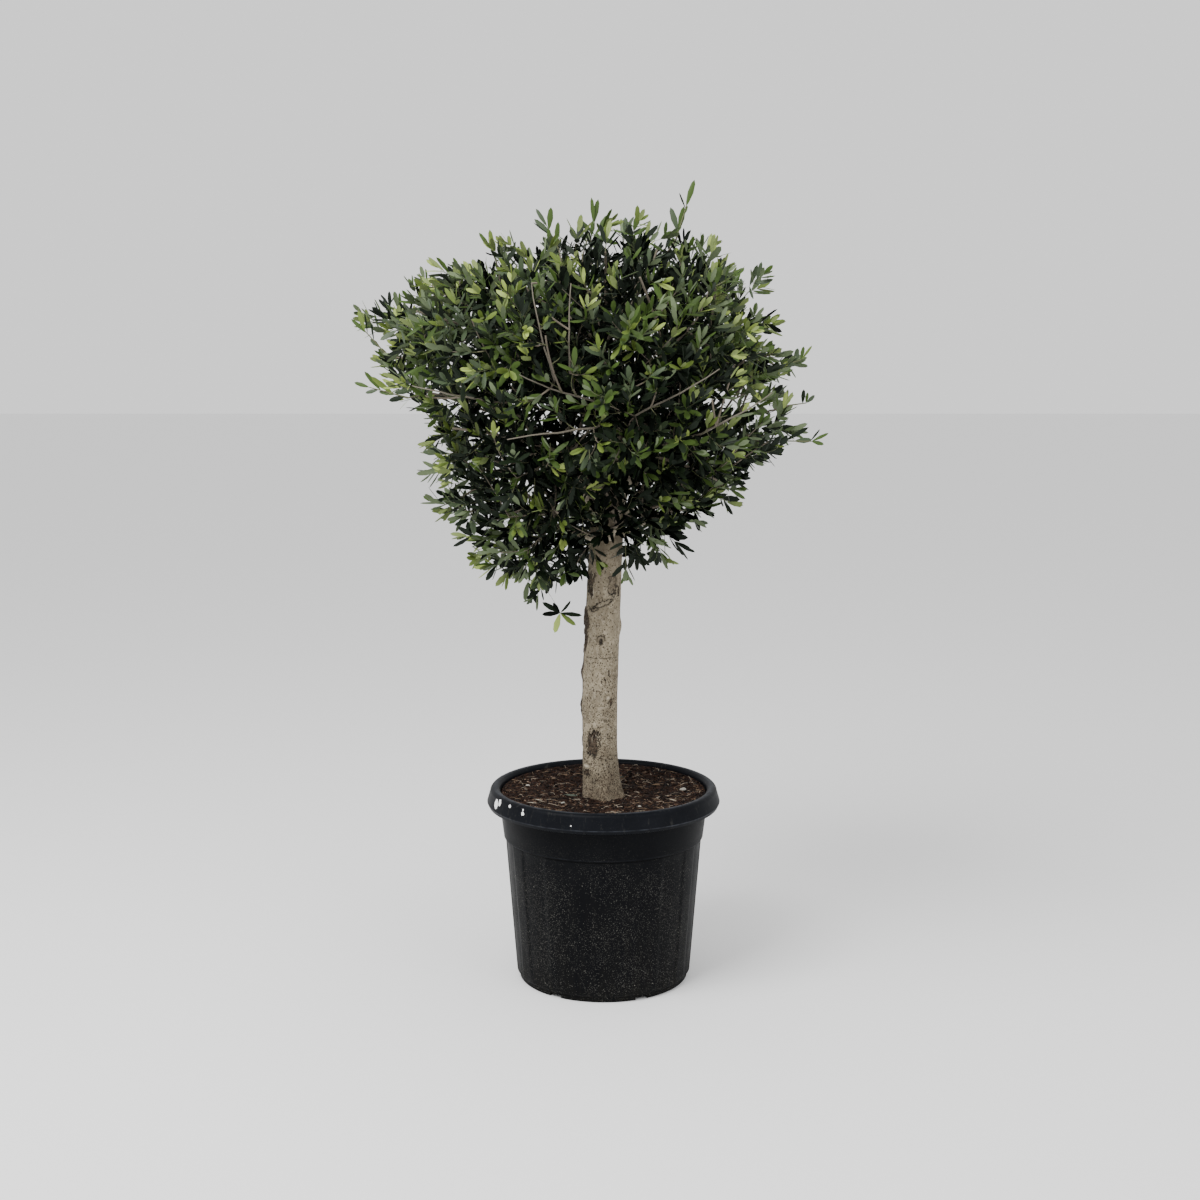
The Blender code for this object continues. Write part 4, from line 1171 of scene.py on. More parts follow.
def bark_relief(z, angle, points):
    """How far the bark stands out, and its marks: how black, how brown and how pale it is."""
    rough = bark_noise(points, 60, 0.55, 4)
    fine = bark_noise(points, 210, 0.7, 3)
    torn = 0.75 * fine + 0.35 * rough
    low = np.clip((0.60 - z) / 0.2, 0, 1)
    relief = rough * (0.00050 + 0.00055 * low) + fine * (0.00025 + 0.0003 * low)
    black, brown, pale = (np.zeros(len(z)) for _ in range(3))

    for *mark, strength in ((*scar, SCAR_STRENGTH)[:6] for scar in SCARS):
        away = 1 - depth_in_mark(z, angle, *mark) + torn * (0.4 + 0.6 * strength)
        fill = np.clip((1 - away) * 3.5, 0, 1) * strength
        seams = np.clip(np.abs(fine) * -5 + 1.1, 0, 1) * fill
        brown = np.maximum(brown, 0.9 * fill)
        black = np.maximum(black, np.maximum(ridge(away, 0.85, 0.20), seams))
        relief += 0.0007 * ridge(away, 1.15, 0.2) - 0.0011 * fill - 0.0006 * seams

    for height, degrees, wide, high in EYES:
        away = 1 - depth_in_mark(z, angle, height, degrees, wide, high) + 0.35 * torn
        arch = ridge(away, 0.85, 0.17) * np.clip((z - height) / high + 0.55, 0, 1)
        heart = depth_in_mark(z + 0.25 * high, angle, height, degrees, 0.55 * wide, 0.75 * high)
        heart = np.clip(heart * 3, 0, 1)
        black = np.maximum(black, np.maximum(arch, 0.9 * heart))
        brown = np.maximum(brown, np.clip(1.2 - away, 0, 1) * 0.6)
        relief += 0.0012 * ridge(away, 1.0, 0.3) - 0.0015 * heart

    for mark in PALE_MARKS:
        depth = depth_in_mark(z, angle, *mark)
        depth = np.clip(np.maximum(depth, 0) * 2.5 + torn, 0, 1) * (depth > 0)
        pale = np.maximum(pale, 0.7 * depth)
        relief += 0.0006 * depth

    for mark in STAINS:
        depth = np.maximum(depth_in_mark(z, angle, *mark), 0)
        brown = np.maximum(brown, np.clip(depth + 0.8 * torn, 0, 1) * 0.45)

    for height, first, last, drop in CRACKS:
        share = (np.degrees(angle) - first) / (last - first)
        crack = ridge(z - height + drop * share + 0.0015 * rough, 0, 0.0012)
        crack *= ((share > 0) & (share < 1)) * np.clip(0.75 + 2 * fine, 0, 1)
        black = np.maximum(black, 0.85 * crack)
        relief -= 0.0006 * crack

    plates = np.array([noise.cell(Vector(p) * 110) for p in points * (1, 1, 0.45)])
    seams = np.clip(np.abs(fine) * -7 + 1, 0, 1)
    old = strip_share(z, angle, rough, OLD_BARK)
    # The left strip is old bark and painted shade along the trunk's left side.
    edge = strip_share(z, angle, 1.3 * rough, LEFT_EDGE_BARK_AND_SHADE)
    for strip, shade in ((old, 0.45), (edge, 0.30)):
        brown = np.maximum(brown, 0.9 * strip)
        black = np.maximum(black, strip * np.clip(seams + shade, 0, 1))
    relief += old * (0.0009 + 0.0014 * plates - 0.0010 * seams) + edge * (0.0006 + 0.0008 * plates)
    return relief, np.stack([black, brown, pale], 1)


def build_trunk():
    """A grid wrapped round the trunk's bow, closed at its foot and at its rounded head."""
    deselect()
    steps = {"x_subdivisions": TRUNK_COLUMNS, "y_subdivisions": TRUNK_ROWS}
    bpy.ops.mesh.primitive_grid_add(size=2, **steps)
    trunk = bpy.context.object
    trunk.name = "trunk_bark"
    count = len(trunk.data.vertices)
    flat = np.empty(count * 3, np.float32)
    trunk.data.vertices.foreach_get("co", flat)
    flat = flat.reshape(-1, 3).astype(float)
    angle = math.pi * flat[:, 0]
    along = (flat[:, 1] + 1) / 2
    shaft = np.clip(along / (1 - HEAD_SHARE), 0, 1)
    lift = np.clip((along - (1 - HEAD_SHARE)) / HEAD_SHARE, 0, 1) * math.pi / 2
    foot = SOIL_Z - TRUNK_FOOT_DEPTH
    z = foot + (TRUNK_SHOULDER_Z - foot) * shaft + (TRUNK_TOP_Z - TRUNK_SHOULDER_Z) * np.sin(lift)
    centre = np.array([trunk_centre(height) for height in z])
    round_way = np.stack([np.cos(angle), np.sin(angle), np.zeros(count)], 1)
    reach = trunk_radius(np.clip(z, SOIL_Z, TRUNK_SHOULDER_Z), angle)
    relief, marks = bark_relief(z, angle, centre + reach[:, None] * round_way)
    points = centre + ((reach + relief) * np.maximum(np.cos(lift), 0.0))[:, None] * round_way
    trunk.data.vertices.foreach_set("co", points.astype(np.float32).ravel())
    layer = trunk.data.attributes.new("marks", "FLOAT_VECTOR", "POINT")
    layer.data.foreach_set("vector", marks.astype(np.float32).ravel())
    choose(trunk)
    bpy.ops.object.mode_set(mode="EDIT")
    bpy.ops.mesh.select_all(action="SELECT")
    bpy.ops.mesh.remove_doubles(threshold=0.00003)
    bpy.ops.mesh.select_all(action="DESELECT")
    bpy.ops.mesh.select_non_manifold()
    bpy.ops.mesh.edge_face_add()
    bpy.ops.mesh.select_all(action="SELECT")
    bpy.ops.mesh.normals_make_consistent(inside=False)
    bpy.ops.object.mode_set(mode="OBJECT")
    smooth(trunk, 70)
    return trunk


def around(degrees):
    """A level direction, from degrees counted from the right."""
    return np.array((math.cos(math.radians(degrees)), math.sin(math.radians(degrees)), 0))


def by_side(direction, right, left):
    """A value that passes from the right's to the left's."""
    leftward = ((1 - np.cos(direction)) / 2) ** SIDE_SHARPNESS
    return right * (1 - leftward) + left * leftward


def mass_plan():
    """Name, tier, direction and middle of every mass of foliage."""
    plan = []
    for tier, height, count, share, left, right in TIERS:
        for number in range(count):
            degrees = 360 * number / count
            reach = float(by_side(math.radians(degrees), right, left)) * share
            name = tier if count == 1 else f"{tier}_{number + 1}"
            plan.append((name, tier, degrees, reach * around(degrees) + (0, 0, height)))
    return plan


def bend(start, control, end, shares):
    """Points at shares of a curve that a control point bends."""
    shares = shares[:, None]
    return (1 - shares) ** 2 * start + 2 * shares * (1 - shares) * control + shares**2 * end


def plan_limbs(plan):
    """Every bough: its points, radii and the way it ends."""
    limbs = {}
    shares = np.linspace(0, 1, BOUGH_POINTS)
    for name, tier, degrees, middle in plan:
        leans = tier != "top"
        foot = trunk_centre(BOUGH_FOOT_Z[tier])
        start = foot + BOUGH_SEAT * trunk_radius(foot[2]) * around(degrees) * leans
        across = max(BOUGH_ENTRY[tier] * np.linalg.norm(middle[:2]), SHORTEST_ENTRY * leans)
        end = across * around(degrees) + (0, 0, middle[2] - BOUGH_DROP[tier])
        outward = BOUGH_OUTWARD[tier]
        control = start + (end - start) * (outward, outward, BOUGH_RISE)
        radii = BOUGH_RADIUS[tier] + (BOUGH_TIP_RADIUS - BOUGH_RADIUS[tier]) * shares**BOUGH_TAPER
        limbs[name] = (bend(start, control, end, shares), radii, unit(end - control))
    return limbs


def build_boughs(limbs):
    """All boughs as knobbly tapering tubes in one piece."""
    paths = np.array([points for points, _, _ in limbs.values()])
    radii = np.array([radii for _, radii, _ in limbs.values()])
    wander = np.array([[noise.noise_vector(Vector(p) * 24) for p in path] for path in paths])
    paths = paths + 0.0016 * wander * np.sin(np.linspace(0, math.pi, BOUGH_POINTS))[None, :, None]
    knobs = np.array([[noise.noise(Vector(p) * 70) for p in path] for path in paths])
    collar = 1 + 0.55 * np.exp(-np.linspace(0, 9, BOUGH_POINTS))
    points, faces = tubes(paths, radii * (1 + 0.10 * knobs) * collar, BOUGH_SIDES)
    boughs = piece_of("boughs", points, faces)
    smooth(boughs, 70)
    return boughs


# Growth of twigs and leaves


class Space:
    """The room of one mass: all places nearer to its middle than to any other's."""

    def __init__(self, middle, others):
        self.middle = middle
        self.normals = unit(others - middle)
        self.offsets = np.sum(self.normals * (others + middle) / 2, axis=1)

    def holds(self, points):
        return (points @ self.normals.T <= self.offsets).all(axis=1)

    def has(self, point):
        return self.holds(np.array([point]))[0]


def reach_at(points):
    """How far the leaf tips reach from the axis at each point's height and direction."""
    x, y, z = points.T
    direction = np.arctan2(y, x)
    bump = np.sin(21 * x + 2.0) * np.sin(19 * y + 1.0)
    z = np.where(z > 1.4, z + BUMP_RISE * bump, z)
    right, left = np.interp(z, HEIGHTS, RIGHT), np.interp(z, HEIGHTS, LEFT)
    ripple = np.sin(6 * direction + 23 * z) * np.sin(29 * z - 5 * direction + 1.3)
    return by_side(direction, right, left) + RIPPLE * ripple


def inside(points, room=0.0):
    """Points in the crown, with room to its outline."""
    x, y, z = points.T
    radius = np.hypot(x, y)
    fall = by_side(np.arctan2(y, x), *CROWN_FOOT_FALL)
    foot = CROWN_FOOT_Z - fall * np.maximum(radius - BARE_RADIUS, 0)
    tall = (z > foot) & (z > HEIGHTS[0]) & (z < HEIGHTS[-1] - room)
    clear = (radius > BARE_RADIUS) | (z > TRUNK_TOP_Z)
    return tall & clear & (radius <= reach_at(points) - room)


def depth_in(points):
    """How far points lie under the crown's surface, measured level and upwards."""
    depth = reach_at(points) - np.hypot(points[:, 0], points[:, 1])
    for rise in (0.06, 0.12, 0.18, 0.24):
        free = ~inside(points + (0, 0, rise))
        depth = np.where(free, np.minimum(depth, rise), depth)
    return np.maximum(depth, 0)


def in_sky_gap(points):
    """Points that would close one of the gaps through which the sky shows at the front."""
    hit = np.zeros(len(points), bool)
    for x, z, wide, high in SKY_GAPS:
        hit |= np.hypot((points[:, 0] - x) / wide, (points[:, 2] - z) / high) < 1
    return hit


def outward(point, order):
    """The way a twig at a point looks for light: away from the crown's heart, and up."""
    return unit(unit(point - CROWN_HEART) + (0, 0, TWIG_LIFT[order]))


def spread_ends(pool, spacing, taken):
    """Ends spread evenly over a pool of points, closer together near the crown's surface."""
    inner = np.clip(depth_in(pool) / SHELL_DEPTH - 0.4, 0, 1)
    top = np.clip((pool[:, 2] - TOP_THINS_FROM) / 0.07, 0, 1)
    scale = spacing * (1 + (INNER_SPACING - 1) * inner + (TOP_SPACING - 1) * top)
    for x, z, wide, high, more in OPEN_PLACES:
        away = np.hypot((pool[:, 0] - x) / wide, (pool[:, 2] - z) / high)
        scale = scale * (1 + more * np.clip(1.5 - away, 0, 1))
    nearest = np.full(len(pool), np.inf)
    for end in taken:
        nearest = np.minimum(nearest, np.linalg.norm(pool - end, axis=1))
    ends = []
    while len(pool):
        best = int(np.argmax(nearest / scale))
        if nearest[best] < scale[best]:
            break
        ends.append(pool[best])
        nearest = np.minimum(nearest, np.linalg.norm(pool - pool[best], axis=1))
    return ends


def gauss_vector(draw, spread):
    """A random step of about the same size in every direction."""
    return np.array([draw.gauss(0, spread) for _ in range(3)])


def lengths_along(points):
    """Length of the path up to each of its points."""
    return np.concatenate([[0], np.cumsum(np.linalg.norm(np.diff(points, axis=0), axis=1))])


def point_at(length, along, points):
    """The point at a length along a path."""
    return np.array([np.interp(length, along, row) for row in points.T])


class Branching:
    """The twigs of one mass. Each new end joins where its way back to the foot is shortest."""

    def __init__(self, foot, way, draw):
        self.places = [foot - way * END_SETBACK]
        self.paths = [0.0]
        self.ways = [way]
        self.radii = [TWIG_RADII[0][0]]
        self.draw = draw
        self.twigs = []

    def joint_for(self, end, order, least):
        """The joint from which an end is reached best, and how far off it is."""
        steps = end - np.array(self.places)
        reach = np.linalg.norm(steps, axis=1)
        cosines = np.sum(steps * np.array(self.ways), axis=1) / np.maximum(reach, 1e-9)
        turn = np.arccos(np.clip(cosines, -1, 1))
        fits = (turn < WIDEST_FORK[order]) & (reach > SHORTEST_TWIG)
        fits &= np.array(self.radii) >= least
        cost = np.where(fits, reach + PATH_WEIGHT * np.array(self.paths), np.inf)
        best = int(np.argmin(cost))
        return (best, reach[best]) if np.isfinite(cost[best]) else (None, 0.0)

    def add_joint(self, place, path, way, radius):
        """A joint: where it is, how long its way back is, which way it points and how thick."""
        self.places.append(place)
        self.paths.append(path)
        self.ways.append(way)
        self.radii.append(radius)

    def grow(self, end, order, towards=None, least=0.0):
        """A twig to an end from the best joint, which is at least so thick."""
        best, reach = self.joint_for(end, order, least)
        if best is None:
            return
        start, way = self.places[best], self.ways[best]
        aim = outward(end, order) if towards is None else towards
        aim = unit(aim + gauss_vector(self.draw, AIM_SPREAD))
        along_way, along_aim = start + 0.4 * reach * way, end - 0.4 * reach * aim
        control = 0.35 * along_way + 0.65 * along_aim
        shares = np.linspace(0, 1, TWIG_POINTS)
        points = bend(start, control, end, shares)
        thick, thin = TWIG_RADII[order]
        thick = min(thick, 0.9 * self.radii[best])
        radii = thick + (min(thin, thick * 0.8) - thick) * shares**0.8
        self.twigs.append((points, radii, order))
        paths = self.paths[best] + lengths_along(points)
        tangents = unit(np.gradient(points, axis=0))
        for k in range(2, TWIG_POINTS):
            share = 0.97 if k == TWIG_POINTS - 1 else 1.0
            place = points[k - 1] + (points[k] - points[k - 1]) * share
            self.add_joint(place, paths[k], tangents[k], radii[k])

    def lay(self, corners, radii, order=SHOWN, wander=SHOWN_WANDER):
        """A stem through three given corners, grown on from the nearest joint."""
        corners = np.array(corners)
        thick, thin = radii
        self.grow(corners[0], 1, unit(corners[1] - corners[0]), LEAST_JOINT * thick)
        joining, along, _ = self.twigs[-1]
        self.twigs[-1] = (joining, np.maximum(along, thick), 1)
        shares = np.linspace(0, 1, TWIG_POINTS)
        middle = 2 * corners[1] - (corners[0] + corners[2]) / 2
        points = bend(corners[0], middle, corners[2], shares)
        points[1:] += wander * np.array([noise.noise_vector(Vector(p) * 16) for p in points[1:]])
        self.twigs.append((points, thick + (thin - thick) * shares, order))
        tangents = unit(np.gradient(points, axis=0))
        for k in range(1, TWIG_POINTS):
            self.add_joint(points[k], self.paths[-1] + LAID_STEP, tangents[k], LAID_RADIUS)


class Leaves:
    """Leaves being gathered: where each starts, how it lies, its size and its tone."""

    def __init__(self, settings, draw):
        self.settings = settings
        self.draw = draw
        self.rows = []

    def add(self, root, way, face, size, tone):
        """A leaf of the usual shape: size counts from a full-grown one."""
        draw = self.draw
        way = unit(way + gauss_vector(draw, WAY_SPREAD))
        face = face + gauss_vector(draw, FACE_SPREAD) + (0, 0, UPTURN)
        face = unit(face - way * (face @ way))
        long = self.settings.leaf_length * size * draw.uniform(0.85, 1.12)
        wide = self.settings.leaf_width * size**0.6 * draw.uniform(0.85, 1.15) / 2
        curl, fold = draw.uniform(*CURL), draw.uniform(*FOLD)
        self.rows.append((root, way, face, long, wide, curl, fold, tone))

    def dress(self, points, order, tones, grown=1.0):
        """Pairs of leaves back along a twig from its tip, each turned across the one before."""
        draw = self.draw
        along = lengths_along(points)
        leafy = LEAFY_LENGTH[order] * draw.uniform(0.75, 1.2)
        back, number = 0.001, 0
        turn = draw.uniform(0, math.pi)
        while back < min(leafy, along[-1] - BARE_FOOT):
            place = along[-1] - back
            ahead, behind = (point_at(place + step, along, points) for step in (0.004, -0.004))
            root = point_at(place, along, points)
            axis = unit(ahead - behind)
            flat = unit(np.cross(axis, (0.3, 0.2, 1.0)))
            side = math.cos(turn) * flat + math.sin(turn) * np.cross(axis, flat)
            spread = math.radians(min(14 + 11 * number, 56) + draw.gauss(0, 7))
            size = PAIR_SIZES[min(number, len(PAIR_SIZES) - 1)]
            size = size * (1 - 0.25 * (back / leafy) ** 3) * grown
            tone = tones[0] if number < YOUNG_PAIRS else tones[1]
            for hand in (1, -1):
                if number > 2 and draw.random() < LOST_LEAVES:
                    continue
                way = math.cos(spread) * axis + math.sin(spread) * side * hand
                face = math.sin(spread) * axis - math.cos(spread) * side * hand
                self.add(root, way, face, size, tone)
            turn += math.pi / 2 + draw.gauss(0, 0.15)
            back += draw.uniform(*PAIR_SPACING) * (1 + 0.06 * number)
            number += 1


def leaf_pattern():
    """A closed leaf lying along x: points, triangles and which of them are on the underside."""
    rows = len(LEAF_ROWS)
    tip = 4 * rows + 1
    points = [(0, 0, 0, 0)]
    for along, half in LEAF_ROWS:
        points += [(along, half, -1, 0), (along, 0, 0, 0.5)]
        points += [(along, -half, -1, 0), (along, 0, 0, -0.5)]
    points.append((1, 0, 0, 0))
    left, middle, right, below = ([1 + 4 * k + part for k in range(rows)] for part in range(4))
    top = [(0, middle[0], left[0]), (0, right[0], middle[0])]
    under = [(0, left[0], below[0]), (0, below[0], right[0])]
    for k in range(rows - 1):
        for a, b in ((middle, left), (right, middle)):
            top += [(a[k], a[k + 1], b[k + 1]), (a[k], b[k + 1], b[k])]
        for a, b in ((below, left), (right, below)):
            under += [(a[k], b[k], b[k + 1]), (a[k], b[k + 1], a[k + 1])]
    top += [(middle[-1], tip, left[-1]), (right[-1], tip, middle[-1])]
    under += [(below[-1], left[-1], tip), (right[-1], below[-1], tip)]
    sides = [False] * len(top) + [True] * len(under)
    return np.array(points), np.array(top + under), np.array(sides)


def leaf_shapes(rows):
    """Points and triangles of many leaves, and the tone and side of each triangle."""
    pattern, faces, under = leaf_pattern()
    roots, ways, normals = (np.array([row[k] for row in rows]) for k in range(3))
    long, wide, curl, fold = (np.array([row[k] for row in rows])[:, None] for k in range(3, 7))
    across = np.cross(normals, ways)
    along, side, edge, thick = pattern.T
    x = along * long
    y = side * wide
    z = -curl * along**2 * long + edge * fold * wide * np.abs(side) + thick * LEAF_THICKNESS * long
    points = roots[:, None] + x[..., None] * ways[:, None] + y[..., None] * across[:, None]
    points = points + z[..., None] * normals[:, None]
    shifts = len(pattern) * np.arange(len(rows))
    faces = (faces[None] + shifts[:, None, None]).reshape(-1, 3)
    tones = np.repeat([row[7] for row in rows], len(under))
    return points.reshape(-1, 3), faces, tones, np.tile(under, len(rows))


def pick_tones(point, draw):
    """Tones of a spray: its young tip and its older leaves, with painted light and shade: lighter
    high up, at the sides and outside, darker deep in the crown.
    """
    depth = float(depth_in(point[None])[0])
    # Painted light and shade: deeper sprays get darker tones, and high, side and left ones lighter
    # tones.
    lit = 1 - min(max(depth - TIP_ROOM, 0) / 0.13, 1)
    high = min(max((point[2] - 0.95) / 0.55, 0), 1)
    wide = min(abs(point[0] + 0.02) / 0.40, 1) - 0.12 * np.sign(point[0])
    low = min(max((1.08 - point[2]) / 0.12, 0), 1)
    light = 0.17 + 0.78 * high + (0.42 + 0.45 * low) * wide
    lit = min(max(lit * light + draw.gauss(0, 0.17), 0), 1)
    young = draw.choices(range(len(TONES)), weights_at(min(lit + 0.16, 1)))[0]
    older = draw.choices(range(len(TONES)), weights_at(max(lit - 0.20, 0)))[0]
    return young, min(older, TONES.index("mid"))


def weights_at(lit):
    """Shares of the tones at an amount of light."""
    table = np.array(TONE_SHARES)
    place = lit * (len(table) - 1)
    low = min(int(place), len(table) - 2)
    return table[low] + (table[low + 1] - table[low]) * (place - low)


def hang_rosette(tree, leaves):
    """A shoot that hangs below the crown and ends in a star of leaves."""
    centre = np.array(ROSETTE)
    tree.grow(centre, 2, np.array((0.1, 0.0, -1.0)))
    for degrees, long, tone in ROSETTE_LEAVES:
        turn = math.radians(degrees)
        way = np.array((math.cos(turn), -0.25, math.sin(turn)))
        face = np.array((-math.sin(turn) * 0.4, -1.0, 0.2))
        leaves.add(centre, way, face, long / leaves.settings.leaf_length, tone)


def front(degrees):
    """A direction in the plane of the front: degrees from the right, counted upwards."""
    turn = math.radians(degrees)
    return np.array((math.cos(turn), 0.0, math.sin(turn)))


def set_shoot(tree, leaves, foot, degrees, reach, blades):
    """A shoot at the crown's edge, with every leaf in its own place and turned to the front."""
    stem = reach * front(degrees)
    tree.lay([foot, foot + stem / 2, foot + stem], SHOOT_RADII, 2, 0.0)
    for along, turn, long, wide, tone in blades:
        way = front(turn)
        face = np.array((leaves.draw.gauss(0, 0.3), -1.0, 0.35))
        face = unit(face - way * (face @ way))
        curl = leaves.draw.uniform(*CURL)
        root = foot + along * stem
        leaves.rows.append((root, way, face, long, wide / 2, curl, SHOOT_FOLD, tone))


def point_on(row, share=1.0):
    """A point along a leaf's midrib."""
    root, way, _, long = row[:4]
    return root + way * long * share


def hides_limb(row):
    """Whether a leaf hangs in front of a bare stem that shows at the front."""
    for share in (0.15, 0.5, 0.85):
        point = point_on(row, share)
        for corners in SHOWN_LIMBS:
            for first, last in zip(corners, corners[1:]):
                if point[1] > first[1] + 0.004:
                    continue
                nearer = (EYE[1] - first[1]) / (EYE[1] - point[1])
                x = EYE[0] + (point[0] - EYE[0]) * nearer
                z = EYE[2] + (point[2] - EYE[2]) * nearer
                side = np.array((last[0] - first[0], last[2] - first[2]))
                away = np.array((x - first[0], z - first[2]))
                along = np.clip(np.dot(away, side) / (side @ side), 0, 1)
                if math.hypot(*(away - along * side)) < SHOWN_ROOM:
                    return True
    return False


def pool_of(sample, space, room, rise):
    """Places where a mass may end a shoot, clear of the outline beside and above."""
    pool = sample.uniform(*CROWN_BOX, (CANDIDATES * 12, 3))
    rise = rise + TOP_DROP * np.maximum(pool[:, 2] - TOP_DROPS_FROM, 0)
    free = inside(pool, room) & inside(pool + rise[:, None] * (0, 0, 1)) & ~in_sky_gap(pool)
    return pool[space.holds(pool) & free][:CANDIDATES]


def spread_twigs(tree, space, foot, sample, spacing):
    """Twigs of three orders to ends all over the mass, and leaders that pass its outline."""
    pool = pool_of(sample, space, TIP_ROOM, TIP_RISE)
    taken = []
    for order, apart in enumerate(TWIG_SPACING):
        ends = spread_ends(pool, apart * spacing, taken[-ENDS_KEPT:])
        ends.sort(key=lambda end: np.linalg.norm(end - foot))
        for end in ends:
            tree.grow(end, order)
        taken += ends
    near = pool_of(sample, space, LEADER_ROOM[0], LEADER_RISE[0])
    near = near[~(inside(near, LEADER_ROOM[1]) & inside(near + (0, 0, LEADER_RISE[1])))]
    near = near[near[:, 2] < LEADER_TOP_Z]
    for end in spread_ends(near, LEADER_SPACING * spacing, []):
        tree.grow(end, 2)


def place_shoots(tree, leaves, space):
    """The placed shoots of one mass: reaching tips, edge shoots and the hanging star."""
    for tip in np.array(REACHING_TIPS):
        if space.has(tip):
            aim = unit(unit(tip - CROWN_HEART) + (0, 0, TIP_LIFT))
            tree.grow(tip - aim * TIP_STALK, 2, aim)
            tones = leaves.draw.choice(TIP_TONES)
            # Painted shade: tips low on the right get the dark and deep tones.
            if tip[0] > 0 and tip[2] < CROWN_HEART[2]:
                tones = SHADED_TIP_TONES
            leaves.dress(tree.twigs[-1][0], 2, tones, TIP_GROWTH)
    for *foot, degrees, reach, place in EDGE_SHOOTS:
        foot = np.array(foot)
        if space.has(foot + reach / 2 * front(degrees)):
            set_shoot(tree, leaves, foot, degrees, reach, BLADES[place])
    if space.has(ROSETTE):
        hang_rosette(tree, leaves)


def keep_leaves(rows):
    """Leaves that hide no shown stem, keep to the solids' box and stay clear of the trunk."""
    rows = [row for row in rows if not hides_limb(row)]
    low, high = (np.array(corner) for corner in CAD_BOX)
    tips = np.array([point_on(row) for row in rows])
    kept = (tips > low - BOX_SLACK).all(axis=1) & (tips < high + BOX_SLACK).all(axis=1)
    kept &= (np.hypot(tips[:, 0], tips[:, 1]) > BARE_RADIUS) | (tips[:, 2] > TRUNK_TOP_Z)
    return [row for row, keep in zip(rows, kept) if keep]


def grow_mass(number, name, plan, limbs, settings):
    """Twigs and leaves of one mass, grown on from its bough."""
    draw = random.Random(settings.seed + number)
    sample = np.random.default_rng(settings.seed + number)
    middles = np.array([middle for _, _, _, middle in plan])
    space = Space(middles[number], np.delete(middles, number, axis=0))
    path, _, way = limbs[name]
    tree = Branching(path[-1], way, draw)
    for corners in SHOWN_LIMBS:
        if space.has(corners[1]):
            tree.lay(corners, SHOWN_RADII)
    spread_twigs(tree, space, path[-1], sample, settings.spacing)
    leaves = Leaves(settings, draw)
    for points, _, order in tree.twigs:
        if 0 < order < SHOWN:
            leaves.dress(points, order, pick_tones(points[-1], draw))
    place_shoots(tree, leaves, space)
    return tree.twigs, keep_leaves(leaves.rows)


def build_twigs(name, twigs):
    """All twigs of one mass, with slots for old bark, young shoots and the stems that show."""
    points, faces, slots = [], [], []
    total = 0
    for order, (sides, slot) in enumerate(zip(TWIG_SIDES, TWIG_SLOTS)):
        chosen = [twig for twig in twigs if twig[2] == order]
        if not chosen:
            continue
        paths, radii = (np.array(values) for values in list(zip(*chosen))[:2])
        made, triangles = tubes(paths, radii, sides)
        points.append(made)
        faces.append(triangles + total)
        slots.append(np.full(len(triangles), slot, np.int32))
        total += len(made)
    piece = piece_of(name, np.concatenate(points), np.concatenate(faces), np.concatenate(slots))
    smooth(piece, 80)
    return piece


def build_leaves(name, rows):
    """All leaves of one mass, with a slot for each tone of their two sides."""
    points, faces, tones, under = leaf_shapes(rows)
    slots = np.where(under, len(TONES) + tones // 2, tones)
    piece = piece_of(name, points, faces, slots)
    smooth(piece, 50)
    return piece


# Settings


def colour_of(name, what, colour):
    return bpy.props.FloatVectorProperty(
        name=name, description=what, default=colour, min=0, max=1, subtype="COLOR"
    )


class OlivePotSettings(bpy.types.PropertyGroup):
    colour: colour_of("Plastic", "Colour of the clean plastic", (0.0014, 0.0017, 0.0026))
    worn: colour_of("Worn plastic", "Colour of the weathered plastic", (0.0028, 0.0032, 0.0040))
    dust_colour: colour_of("Dust", "Colour of the dust low on the wall", (0.0110, 0.0105, 0.0085))
    # The colour of the painted highlights along the pot's edges.
    edge: colour_of("Edges", "Colour of rubbed edges", (0.042, 0.046, 0.056))
    rim: colour_of("Rim", "Colour of the weathered rim", (0.0075, 0.0088, 0.0125))
    lime: colour_of("Lime", "Colour of the lime specks", (0.140, 0.137, 0.120))
    paint: colour_of("Paint", "Colour of the splashes on the rim", (0.80, 0.80, 0.78))
    dust: bpy.props.FloatProperty(
        name="Dustiness", description="How dusty the wall is", default=0.8, min=0, max=1,
        subtype="FACTOR",
    )


class OliveSoilSettings(bpy.types.PropertyGroup):
    colour: colour_of("Peat", "Colour of the damp peat", (0.0036, 0.0018, 0.0011))
    fibre: colour_of("Fibre", "Colour of the fibres in the peat", (0.040, 0.0180, 0.0100))
    stalk: colour_of("Stalks", "Colour of the dry stalks", (0.26, 0.18, 0.115))
    seed: bpy.props.IntProperty(name="Seed", description="Which litter is drawn", default=5, min=0)


class OliveTrunkSettings(bpy.types.PropertyGroup):
    colour: colour_of("Bark", "Colour of the smooth bark", (0.262, 0.222, 0.155))
    # Also the colour of the painted shadow under the crown at the trunk's top.
    shade: colour_of("Shade", "Colour of the greyer bark", (0.140, 0.116, 0.080))
    pale: colour_of("Pale", "Colour of the palest bark", (0.43, 0.38, 0.29))
    dark: colour_of("Pores", "Colour of pores and pits", (0.028, 0.020, 0.013))
    scar: colour_of("Scars", "Colour of scars and old bark", (0.050, 0.032, 0.021))
    crack: colour_of("Cracks", "Colour in the cracks", (0.0045, 0.0035, 0.0028))
    dirt: colour_of("Dirt", "Colour of the dirt at the foot", (0.085, 0.058, 0.038))


